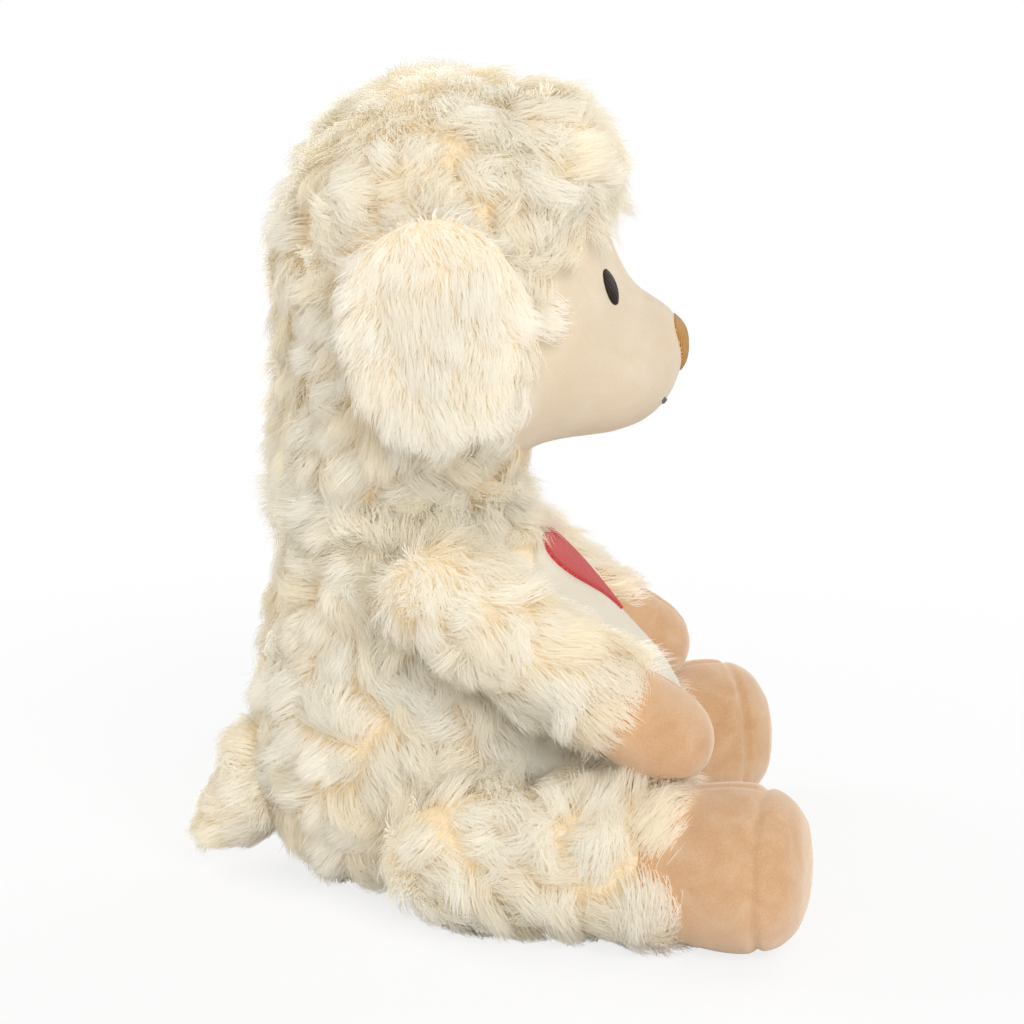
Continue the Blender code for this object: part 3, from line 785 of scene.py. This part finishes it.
def patch(name, outline, centre, tree, look, material):
    # rings of an outline shrunk to its middle, laid on the form behind it and domed
    lift, edge, crown, rings = look
    ahead, count = Vector((0, 1, 0)), len(outline)
    scales = [1.0, 1.0] + list(np.linspace(1, 0, rings + 1)[1:-1])
    drops = [edge] + [0.0] * rings
    form = bmesh.new()
    layer = form.loops.layers.uv.new("threads")
    rows = []
    flat = {}

    def laid(x, z, share, drop):
        spot = Vector((centre[0] + x, centre[1], centre[2] + z))
        place, normal = tree.ray_cast(spot - ahead * patchLook["from"], ahead)[:2]
        if place is None:
            place, normal = tree.find_nearest(spot)[:2]
        vert = form.verts.new(place + normal * (lift + crown * (1 - share**3) + drop))
        flat[vert] = Vector((x, z)) * patchLook["threads"]
        return vert

    for scale, drop in zip(scales, drops):
        rows.append([laid(x * scale, z * scale, scale, drop) for x, z in outline])
    middle = laid(0, 0, 0, 0)
    for outer, inner in zip(rows, rows[1:]):
        for i in range(count):
            j = (i + 1) % count
            form.faces.new((outer[i], outer[j], inner[j], inner[i]))
    for i in range(count):
        form.faces.new((rows[-1][i], rows[-1][(i + 1) % count], middle))
    bmesh.ops.recalc_face_normals(form, faces=form.faces)
    for face in form.faces:
        for loop in face.loops:
            loop[layer].uv = flat[loop.vert]
    if sum(face.normal.dot(ahead) for face in form.faces) > 0:
        bmesh.ops.reverse_faces(form, faces=form.faces)
    thing = linkForm(name, form)
    thing.data.materials.append(material)
    return thing


# Torso

torsoLook = {
    "width": 0.084, "depth": 0.123, "length": 0.1215, "place": (0, 0.008, 0.0075),
    "shares": (
        (0.0, 0.0, -0.033, 0.033), (0.012, 0.6, 0.244, 0.309), (0.062, 0.9, 0.39, 0.423),
        (0.144, 0.98, 0.472, 0.48), (0.267, 1.0, 0.504, 0.496), (0.432, 0.95, 0.478, 0.488),
        (0.621, 0.83, 0.325, 0.455), (0.778, 0.74, 0.188, 0.431), (0.844, 0.68, 0.125, 0.415),
        (0.909, 0.57, 0.024, 0.366), (0.967, 0.35, -0.057, 0.285), (1.0, 0.0, -0.171, 0.171),
    ),
    "backing": 0.0015, "bibWidth": 0.062, "bibHeight": 0.1, "bibMiddle": 0.057,
    "bibTop": 0.106, "bibPower": 2.4, "bibPatch": (0.003, -0.0028, 0.0006, 22),
    "heartWidth": 0.029, "heartHeight": 0.025, "heartLift": 0.0025,
    "heartPatch": (0.0009, -0.0012, 0.0009, 14), "cloth": (0.005, 0.0012),
    "neckHole": {"back": 0.029, "radius": 0.026, "above": 0.115},
    "chestTrim": {"reach": 0.0265, "middle": 0.089, "half": 0.019},  # bare beside the bib
    "furMargin": 0.001, "furLow": 0.004, "split": 0.03,
    "coat": 0.005,  # how near a limb's strands come to the torso
}
torsoPlace = Matrix.Translation(torsoLook["place"])
torsoForm = swelling("torso_form", torsoLook, torsoPlace)
torsoTree = treeOf(torsoForm)

torsoBase = swelling("torso_base", torsoLook, torsoPlace, torsoLook["backing"])
stuffed(torsoBase, *torsoLook["cloth"])
subdivided(torsoBase, 1)
torsoBase.data.materials.append(backingMade)
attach(torsoBase, "torso")
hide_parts("body_stuffing", "pellet_pouch")

width, height, middle = (torsoLook[f"bib{key}"] for key in ("Width", "Height", "Middle"))
bibOutline = ovalOutline(width, height, 96, torsoLook["bibPower"])
bibOutline[:, 1] = np.minimum(bibOutline[:, 1], torsoLook["bibTop"] - middle)
look = torsoLook["bibPatch"]
chestBib = patch("chest_bib_pile", bibOutline, (0, 0, middle), torsoTree, look, bibMade)
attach(chestBib, "torso")
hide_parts("chest_bib")

turns = np.linspace(0, math.tau, 96, endpoint=False)
waves = 13 * np.cos(turns) - 5 * np.cos(2 * turns) - 2 * np.cos(3 * turns) - np.cos(4 * turns)
heartOutline = np.stack((np.sin(turns) ** 3 / 2, waves / 29), axis=1)
heartOutline *= (torsoLook["heartWidth"], torsoLook["heartHeight"])
low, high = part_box("heart_patch")
heartPlace = (0, 0, high.z - heartOutline[:, 1].max() + torsoLook["heartLift"])
look = torsoLook["heartPatch"]
heartPatch = patch("heart_stitch", heartOutline, heartPlace, treeOf(chestBib), look, redMade)
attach(heartPatch, "torso")
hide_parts("heart_patch")


def onTorso(points, normals):
    margin, hole, trim = (torsoLook[key] for key in ("furMargin", "neckHole", "chestTrim"))
    x, y, z = points.T
    bib = inOval(points, torsoLook, "bib", margin)
    bib &= (y < torsoLook["place"][1]) & (z < torsoLook["bibTop"] - margin)
    neck = (np.hypot(x, y - hole["back"]) < hole["radius"]) & (z > hole["above"])
    chest = (np.abs(x) < trim["reach"]) & (y < 0) & (np.abs(z - trim["middle"]) < trim["half"])
    return ~bib & ~neck & ~chest & (z > torsoLook["furLow"])


torsoFlow = combed((0, 0.12, -1))
coatOf("torso", torsoBase, torsoFlow, onTorso, 1, torsoLook["split"], "back", 11, "body_cover")
offTorso = keptOff(torsoTree, torsoLook["coat"])
print("torso made")


# Head: the skull and the muzzle run into one smooth face

headLook = {
    "width": 0.09, "depth": 0.093, "length": 0.1285, "place": (0, 0.014, 0.1103),
    "shares": (
        (0.0, 0.0, -0.161, 0.161), (0.016, 0.55, 0.108, 0.43), (0.07, 0.69, 0.172, 0.495),
        (0.171, 0.76, 0.194, 0.505), (0.241, 0.87, 0.323, 0.505),
        (0.327, 0.955, 0.419, 0.495), (0.451, 1.0, 0.473, 0.495), (0.576, 1.0, 0.495, 0.495),
        (0.7, 0.965, 0.473, 0.484), (0.809, 0.865, 0.409, 0.43), (0.903, 0.68, 0.29, 0.323),
        (0.973, 0.38, 0.14, 0.172), (1.0, 0.0, -0.01, 0.01),
    ),
    "backing": 0.0018, "faceWidth": 0.0825, "faceHeight": 0.074, "faceMiddle": 0.1688,
    "facePower": 2.4,
    "faceReach": (0.012, -0.04),  # before which the oval counts, and all is face
    "pileMargin": 0.003,  # how far the smooth pile runs on under the fur
    "browCentre": (0, -0.013, 0.169), "browRadii": (0.037, 0.028, 0.034),
    "noseMiddle": (0, 0, 0.164), "noseWidth": 0.0225, "noseHeight": 0.0165,
    "noseTaper": 0.45, "nosePatch": (0.0004, -0.001, 0.0014, 10),
    "eyePlace": (0.021, 0.183), "eyeWidth": 0.0046, "eyeHeight": 0.0105,
    "eyeSlant": math.radians(18), "eyePatch": (0.0003, -0.0008, 0.0011, 8),
    "mouthWidth": 0.02, "mouthHeight": 0.1465, "mouthRise": 0.0022, "mouthHalf": 0.0006,
    "mouthPatch": (0.0002, -0.0006, 0.0004, 3), "cloth": (0.003, 0.001), "pressure": 3.0,
    "crease": 0.016,  # the width and the back end of the smoothed crease at the muzzle
    "creaseBack": 0.01, "furMargin": 0.0015, "furLow": 0.1195, "split": 0.195,
    "flow": (0.0, 0.25, -1.0),
    "cheek": (0.7, -0.006, 0.012),  # how much, where and how widely the cheeks are combed back
    "whorl": (0, 0.02, 0.2), "whorlRise": 0.03,
}
muzzleLook = {
    "width": 0.06, "depth": 0.048, "length": 0.06, "tip": -0.055, "height": 0.161,
    "shares": (
        (0, 0, 0, 0), (0.1, 0.8, 0.4, 0.4), (0.35, 1.0, 0.5, 0.5), (0.6, 0.93, 0.5, 0.46),
        (0.8, 0.74, 0.42, 0.38), (0.93, 0.47, 0.26, 0.28), (1.0, 0.0, -0.06, 0.06),
    ),
}
headPlace = Matrix.Translation(headLook["place"])
muzzleBack = (0, muzzleLook["tip"] + muzzleLook["length"], muzzleLook["height"])
muzzlePlace = aimed(muzzleBack, (0, -1, 0), (0, 0, 1))
headForm = swelling("head_form", headLook, headPlace)
headTree = treeOf(headForm)
muzzleForm = swelling("muzzle_form", muzzleLook, muzzlePlace)
muzzleTree = treeOf(muzzleForm)
browForm = ellipsoid("brow_form", headLook["browCentre"], headLook["browRadii"])
headBase = swelling("head_base", headLook, headPlace, headLook["backing"])
joined = bmesh.new()
for thing in (headBase, muzzleForm, browForm):
    joined.from_mesh(thing.data)
joined.to_mesh(headBase.data)
joined.free()
headCloth = clothLook | {"uniform_pressure_force": headLook["pressure"]}
stuffed(headBase, *headLook["cloth"], settings=headCloth)
points = pointsOf(headBase.data)
reach = np.abs(heights(points, headTree)[0]) + np.abs(heights(points, muzzleTree)[0])
crease = np.exp(-((reach / headLook["crease"]) ** 2)) * (points[:, 1] < headLook["creaseBack"])
putPoints(headBase.data, relaxed(headBase.data, points, 0.15 + 0.85 * crease, 16))
subdivided(headBase, 1)
removed(muzzleForm, browForm)


def inFace(points, margin):
    back, front = headLook["faceReach"]
    oval = inOval(points, headLook, "face", margin)
    return (oval & (points[:, 1] < back)) | (points[:, 1] < front)


centres = rowsOf(headBase.data.polygons, "center")
halfSmooth(headBase, inFace(centres, -headLook["pileMargin"]))
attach(headBase, "head")
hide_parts("face_panel", "muzzle", "head_stuffing")
faceTree = treeOf(headBase)

width, height, taper = (headLook[f"nose{key}"] for key in ("Width", "Height", "Taper"))
noseOutline = ovalOutline(width, height, 48, 2.3)
noseOutline[:, 0] *= taper + (1 - taper) * (noseOutline[:, 1] / height + 0.5)
place, look = headLook["noseMiddle"], headLook["nosePatch"]
nosePatch = patch("nose_stitch", noseOutline, place, faceTree, look, noseMade)
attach(nosePatch, "head")
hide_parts("nose")
for name, side in (("left", 1), ("right", -1)):
    x, z = headLook["eyePlace"]
    slant = side * headLook["eyeSlant"]
    outline = ovalOutline(headLook["eyeWidth"], headLook["eyeHeight"], 40, 2.0, slant)
    eyePlace = (side * x, 0, z)
    eye = patch(f"eye_stitch_{name}", outline, eyePlace, faceTree, headLook["eyePatch"], eyeMade)
    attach(eye, "head")
    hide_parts(f"eye_{name}")
across = np.linspace(-1, 1, 25)
rise = headLook["mouthRise"] * across**2
line = np.stack((across * headLook["mouthWidth"] / 2, rise), axis=1)
half = (0, headLook["mouthHalf"])
mouthOutline = np.concatenate((line - half, line[::-1] + half))
place, look = (0, 0, headLook["mouthHeight"]), headLook["mouthPatch"]
mouth = patch("mouth_stitch_line", mouthOutline, place, faceTree, look, greyMade)
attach(mouth, "head")
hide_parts("mouth_stitch")


def onHead(points, normals):
    return ~inFace(points, headLook["furMargin"]) & (points[:, 2] > headLook["furLow"])


def headFlow(points, normals):
    share, middle, reach = headLook["cheek"]
    flow = np.tile(headLook["flow"], (len(points), 1))
    flow[:, 1] += share * np.exp(-((points[:, 1] - middle) / reach) ** 2)
    away = points - np.array(headLook["whorl"])
    top = np.clip(away[:, 2] / headLook["whorlRise"], 0, 1)[:, None]
    away[:, 2] = 0
    return flow * (1 - top) + unit(away) * top


coatOf("head", headBase, headFlow, onHead, 2, headLook["split"], "top", 21, "head_cover")

forelockLook = {
    "centre": (0, -0.007, 0.2145), "radii": (0.036, 0.024, 0.022),
    "bare": 0.0015,  # the height over the head's form under which it has no strands
    "flow": (0.0, -0.5, -0.6),
}
lockBase = ellipsoid("forelock_base", forelockLook["centre"], forelockLook["radii"])
lockBase.data.materials.append(backingMade)
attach(lockBase, "head")


def onLock(points, normals):
    high = heights(points, headTree)[0]
    under = (normals[:, 2] < -0.55) & (points[:, 1] < -0.02)
    return (high > forelockLook["bare"]) & ~under


lockFlow = combed(forelockLook["flow"])
furPiece("forelock_fur", "head", lockBase, lockFlow, onLock, curlLook, 31, replaced=("forelock",))
print("head made")


# Neck: the gathered seam, and the fur that hangs from it

neckLook = {
    "back": 0.029, "radius": 0.0335, "low": 0.112, "high": 0.1225,
    # shares of the radius and of the height
    "profile": ((0.6, 0), (0.94, 0.05), (1, 0.3), (0.97, 0.5), (1, 0.7), (0.93, 0.95), (0.6, 1)),
    "fur": {"length": 0.015, "density": 3.2, "lean": (0.6, 1.0)},
}
form = bmesh.new()
radius, low, high = (neckLook[key] for key in ("radius", "low", "high"))
profile = neckLook["profile"]
rim = [form.verts.new((radius * out, 0, low + (high - low) * rise)) for out, rise in profile]
edges = [form.edges.new(pair) for pair in zip(rim, rim[1:])]
turn = {"cent": (0, 0, 0), "axis": (0, 0, 1), "angle": math.tau, "steps": 48}
bmesh.ops.spin(form, geom=rim + edges, use_merge=True, **turn)
bmesh.ops.remove_doubles(form, verts=form.verts, dist=0.00002)
bmesh.ops.holes_fill(form, edges=[edge for edge in form.edges if edge.is_boundary])
bmesh.ops.translate(form, vec=(0, neckLook["back"], 0), verts=form.verts)
bmesh.ops.recalc_face_normals(form, faces=form.faces)
neckBase = linkForm("neck_gather", form)
neckBase.data.materials.append(backingMade)
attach(neckBase, "neck")
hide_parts("neck_seam")
look, onNeck = curlLook | neckLook["fur"], lambda p, n: np.hypot(n[:, 0], n[:, 1]) > 0.5
furPiece("neck_fur", "neck", neckBase, combed((0, 0, -1)), onNeck, look, 36)


# Ears: a furry outside and a smooth lining that faces the head

earLook = {
    "width": 0.045, "depth": 0.011, "length": 0.0585, "place": (0.057, 0.017, 0.206),
    "shares": (
        (0, 0, 0, 0), (0.06, 0.55, 0.25, 0.25), (0.18, 0.85, 0.4, 0.4), (0.35, 1.0, 0.5, 0.5),
        (0.6, 1.0, 0.5, 0.5), (0.8, 0.85, 0.47, 0.47), (0.93, 0.55, 0.35, 0.35), (1, 0, 0, 0),
    ),
    "clear": 0.0082, "furClear": 0.008,
    "lining": 0.25,  # how squarely the smooth side faces the head
    "fan": 18,  # how far the strands spread to the ear's edges
    "fur": {
        "length": 0.0118,
        "swing": 0.25,
        "curl": 0.3,
        "tone": 0.5,
        "tuftArea": 90,
        "mingle": 0.0016,
        "gather": 0.2,
    },
}


def makeEar(name, side, seed):
    place = aimed(earLook["place"], (0, 0, -1), (1, 0, 0))
    ear = swelling(f"ear_base_{name}", earLook, place)
    sided(ear, side)
    reshaped(ear, lambda points: keptClear(points, headTree, earLook["clear"]))
    halfSmooth(ear, rowsOf(ear.data.polygons, "normal")[:, 0] * side < -earLook["lining"])
    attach(ear, f"ear_{name}")
    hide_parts(f"ear_lining_{name}")

    def outside(points, normals):
        return normals[:, 0] * side > -earLook["lining"]

    def flow(points, normals):
        down = np.tile((0.0, 0.0, -1.0), (len(points), 1))
        down[:, 1] += (points[:, 1] - earLook["place"][1]) * earLook["fan"]
        return down

    fur, body, look = f"ear_fur_{name}", f"ear_{name}", curlLook | earLook["fur"]
    clear = keptOff(headTree, earLook["furClear"])
    furPiece(fur, body, ear, flow, outside, look, seed, clear, (f"ear_{name}",))


# Hands and feet: smooth pile over a stuffed end, with its seams drawn in

limbLook = {"tuck": 0.01, "held": 0.007}  # the cloth inside the cuff


def tipOf(name, look, place, side, cuff, pinned, seams, floor):
    tip = swelling(name, look, place, look["pile"])
    cutOff(tip, place, cuff - limbLook["tuck"], True)
    stuffed(tip, *look["tipCloth"], pinned)
    subdivided(tip, 2)
    local = placed(pointsOf(tip.data), place.inverted())
    inward = unit(local * (1, 1, 0))
    local -= inward * (seams(*local.T) * look["seamDepth"])[:, None]
    putPoints(tip.data, lifted(placed(local, place), floor))
    sided(tip, side)
    tip.data.materials.append(tanMade)
    return tip


# Arms: a fur sleeve and a smooth hand

armLook = {
    "width": 0.024, "depth": 0.024, "length": 0.1005, "shoulder": (0.0501, 0.016, 0.1),
    "slope": math.radians(33), "lean": math.radians(5),
    "inner": 0.007,  # the flat side that lies against the torso, from the arm's middle
    "lap": 0.0493,  # the height at which the hands rest on the thighs
    "wrist": 0.68,
    "shares": (
        (0, 0, 0, 0), (0.05, 0.81, 0.405, 0.405), (0.12, 1.0, 0.5, 0.5),
        (0.3, 1.05, 0.52, 0.52), (0.5, 1.0, 0.5, 0.5), (0.64, 0.93, 0.46, 0.46),
        (0.8, 1.05, 0.52, 0.52), (0.91, 0.95, 0.48, 0.48), (0.975, 0.62, 0.31, 0.31),
        (1, 0, 0, 0),
    ),
    "pile": 0.002, "tipCloth": (0.0035, 0.001), "seamDepth": 0.0009, "seamWidth": 0.0011,
    "backing": 0.0012, "sleeveCloth": (0.004, 0.0008), "slack": 0.0005, "clear": 0.0088,
    "cuff": 0.004,  # how far the sleeve's cloth and its strands reach over the hand
    "furCuff": 0.003, "furInner": 0.003, "furClear": 0.006, "furLap": 0.003,
    "fall": (0, 0, -0.35),
    "fur": {"swing": 0.7},
}


def makeArm(name, side, seed):
    slope = armLook["slope"]
    direction = Vector((0, -math.cos(slope), -math.sin(slope)))
    lean = Matrix.Translation(armLook["shoulder"]) @ Matrix.Rotation(-armLook["lean"], 4, "Y")
    place = lean @ aimed(-direction * armLook["width"] / 2, direction, (0, 0, 1))
    along = lean.to_3x3() @ direction
    wrist = armLook["length"] * armLook["wrist"]

    def besideTorso(points, inner):
        # nothing of the arm is nearer the torso than its flat side
        own = placed(points, lean.inverted())
        own[:, 0] = np.maximum(own[:, 0], -inner)
        return placed(own, lean)

    back = place.inverted()

    def atWrist(points):
        return placed(points, back)[:, 2] < wrist - limbLook["held"]

    def seam(x, y, z):
        return np.exp(-((x / armLook["seamWidth"]) ** 2)) * (z > wrist)

    title, lap = f"hand_pile_{name}", armLook["lap"]
    hand = tipOf(title, armLook, place, side, wrist, atWrist, seam, lap)
    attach(hand, f"arm_{name}")
    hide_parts(f"hand_{name}")

    sleeve = swelling(f"sleeve_base_{name}", armLook, place, armLook["backing"])
    cutOff(sleeve, place, wrist + armLook["cuff"], False)
    inner = armLook["inner"]
    reshaped(sleeve, lambda points: besideTorso(points, inner - armLook["slack"]))
    reshaped(sleeve, lambda points: keptClear(points, torsoTree, armLook["clear"]))
    stuffed(sleeve, *armLook["sleeveCloth"])
    reshaped(sleeve, lambda points: besideTorso(points, inner))
    subdivided(sleeve, 1)
    sided(sleeve, side)
    sleeve.data.materials.append(backingMade)
    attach(sleeve, f"arm_{name}")
    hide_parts(f"arm_stuffing_{name}")

    def outside(points, normals):
        return placed(points * (side, 1, 1), back)[:, 2] < wrist + armLook["furCuff"]

    def clear(lines):
        flat = besideTorso(lines.reshape(-1, 3) * (side, 1, 1), inner + armLook["furInner"])
        flat = lifted(keptClear(flat, torsoTree, armLook["furClear"]), lap - armLook["furLap"])
        return (flat * (side, 1, 1)).reshape(lines.shape)

    flow = combed(np.array(along) * (side, 1, 1) + armLook["fall"])
    fur, body, look = f"sleeve_fur_{name}", f"arm_{name}", curlLook | armLook["fur"]
    furPiece(fur, body, sleeve, flow, outside, look, seed, clear, (f"sleeve_{name}",))


# Legs: a fur thigh, a smooth foot and a sewn sole

legLook = {
    "width": 0.045, "depth": 0.045, "length": 0.121, "sole": (0.0705, -0.0865, 0.024),
    "splay": math.radians(13), "ankle": 0.69, "rim": 0.9,
    "shares": (
        (0, 0, 0, 0), (0.06, 0.52, 0.26, 0.26), (0.14, 0.76, 0.38, 0.38),
        (0.25, 0.84, 0.42, 0.42), (0.45, 0.84, 0.42, 0.42), (0.62, 0.82, 0.41, 0.41),
        (0.7, 0.88, 0.44, 0.44), (0.77, 0.96, 0.48, 0.48), (0.84, 1.0, 0.5, 0.5),
        (0.9, 0.97, 0.485, 0.485), (0.95, 0.85, 0.425, 0.425), (0.984, 0.6, 0.3, 0.3),
        (1, 0, 0, 0),
    ),
    "pile": 0.002, "tipCloth": (0.004, 0.0016), "rimHeld": 0.002, "seamDepth": 0.0012,
    "seamWidth": 0.0013,
    "line": (0.7, 0.012),  # depth of the seam along the foot, and how near the middle it ends
    "backing": 0.0012, "thighCloth": (0.0045, 0.001),
    "clear": (0.009, 0.0088),  # before and after the stuffing
    "floor": 0.0006, "cuff": 0.003, "furCuff": 0.002, "furFloor": 0.001,
    "fall": (0, 0, -0.45),
}


def makeLeg(name, side, seed):
    splay = legLook["splay"]
    direction = Vector((math.sin(splay), -math.cos(splay), 0))
    place = aimed(Vector(legLook["sole"]) - direction * legLook["length"], direction, (0, 0, 1))
    back = place.inverted()
    ankle = legLook["length"] * legLook["ankle"]
    rim = legLook["length"] * legLook["rim"]

    def held(points):
        high = placed(points, back)[:, 2]
        return (high < ankle - limbLook["held"]) | (np.abs(high - rim) < legLook["rimHeld"])

    def seams(x, y, z):
        share, end = legLook["line"]
        ring = np.exp(-(((z - rim) / legLook["seamWidth"]) ** 2))
        line = np.exp(-((x / legLook["seamWidth"]) ** 2)) * (z < rim)
        return np.maximum(ring, share * line * (np.hypot(x, y) > end))

    foot = tipOf(f"foot_pile_{name}", legLook, place, side, ankle, held, seams, 0.0)
    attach(foot, f"leg_{name}")
    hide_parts(f"foot_{name}", f"sole_{name}")

    thigh = swelling(f"thigh_base_{name}", legLook, place, legLook["backing"])
    cutOff(thigh, place, ankle + legLook["cuff"], False)
    before, after = legLook["clear"]
    reshaped(thigh, lambda points: keptClear(points, torsoTree, before))
    stuffed(thigh, *legLook["thighCloth"])
    subdivided(thigh, 1)
    reshaped(thigh, lambda points: keptClear(points, torsoTree, after))
    reshaped(thigh, lambda points: lifted(points, legLook["floor"]))
    sided(thigh, side)
    thigh.data.materials.append(backingMade)
    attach(thigh, f"leg_{name}")
    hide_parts(f"leg_stuffing_{name}")

    def outside(points, normals):
        high = placed(points * (side, 1, 1), back)[:, 2]
        return (high < ankle + legLook["furCuff"]) & (points[:, 2] > legLook["furFloor"])

    flow = combed(np.array(direction) * (side, 1, 1) + legLook["fall"])
    fur, body = f"thigh_fur_{name}", f"leg_{name}"
    furPiece(fur, body, thigh, flow, outside, curlLook, seed, offTorso, (f"thigh_{name}",))


for number, (sideName, side) in enumerate((("left", 1), ("right", -1))):
    makeEar(sideName, side, 41 + number)
    makeArm(sideName, side, 51 + number)
    makeLeg(sideName, side, 61 + number)
print("limbs made")


# Tail

tailLook = {
    "width": 0.027, "depth": 0.022, "length": 0.044, "tip": (0, 0.089, 0.012),
    "slope": math.radians(38),
    "shares": (
        (0, 0, 0, 0), (0.1, 0.95, 0.4, 0.72), (0.35, 1.12, 0.5, 0.8), (0.65, 0.9, 0.42, 0.52),
        (0.88, 0.5, 0.26, 0.26), (1, 0, 0, 0),
    ),
    "clear": 0.003,
    "fur": {"swing": 0.4, "length": 0.012, "lean": (1.15, 1.4)},
}
direction = Vector((0, math.cos(tailLook["slope"]), -math.sin(tailLook["slope"])))
place = aimed(Vector(tailLook["tip"]) - direction * tailLook["length"], direction, (0, 0, 1))
tailBase = swelling("tail_base", tailLook, place)
reshaped(tailBase, lambda points: keptClear(points, torsoTree, tailLook["clear"]))
tailBase.data.materials.append(backingMade)
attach(tailBase, "tail")
look, flow, onTail = curlLook | tailLook["fur"], combed(direction), lambda p, n: p[:, 2] > 0
furPiece("tail_fur", "tail", tailBase, flow, onTail, look, 71, offTorso, ("tail",))
print("tail made")

removed(torsoForm, headForm)
bpy.context.view_layer.update()
lookBox = [list(corner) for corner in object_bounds()]
for title, (low, high) in (("cad", cadBox), ("visual", lookBox)):
    print(title, "mm", [round((b - a) * 1000, 1) for a, b in zip(low, high)])
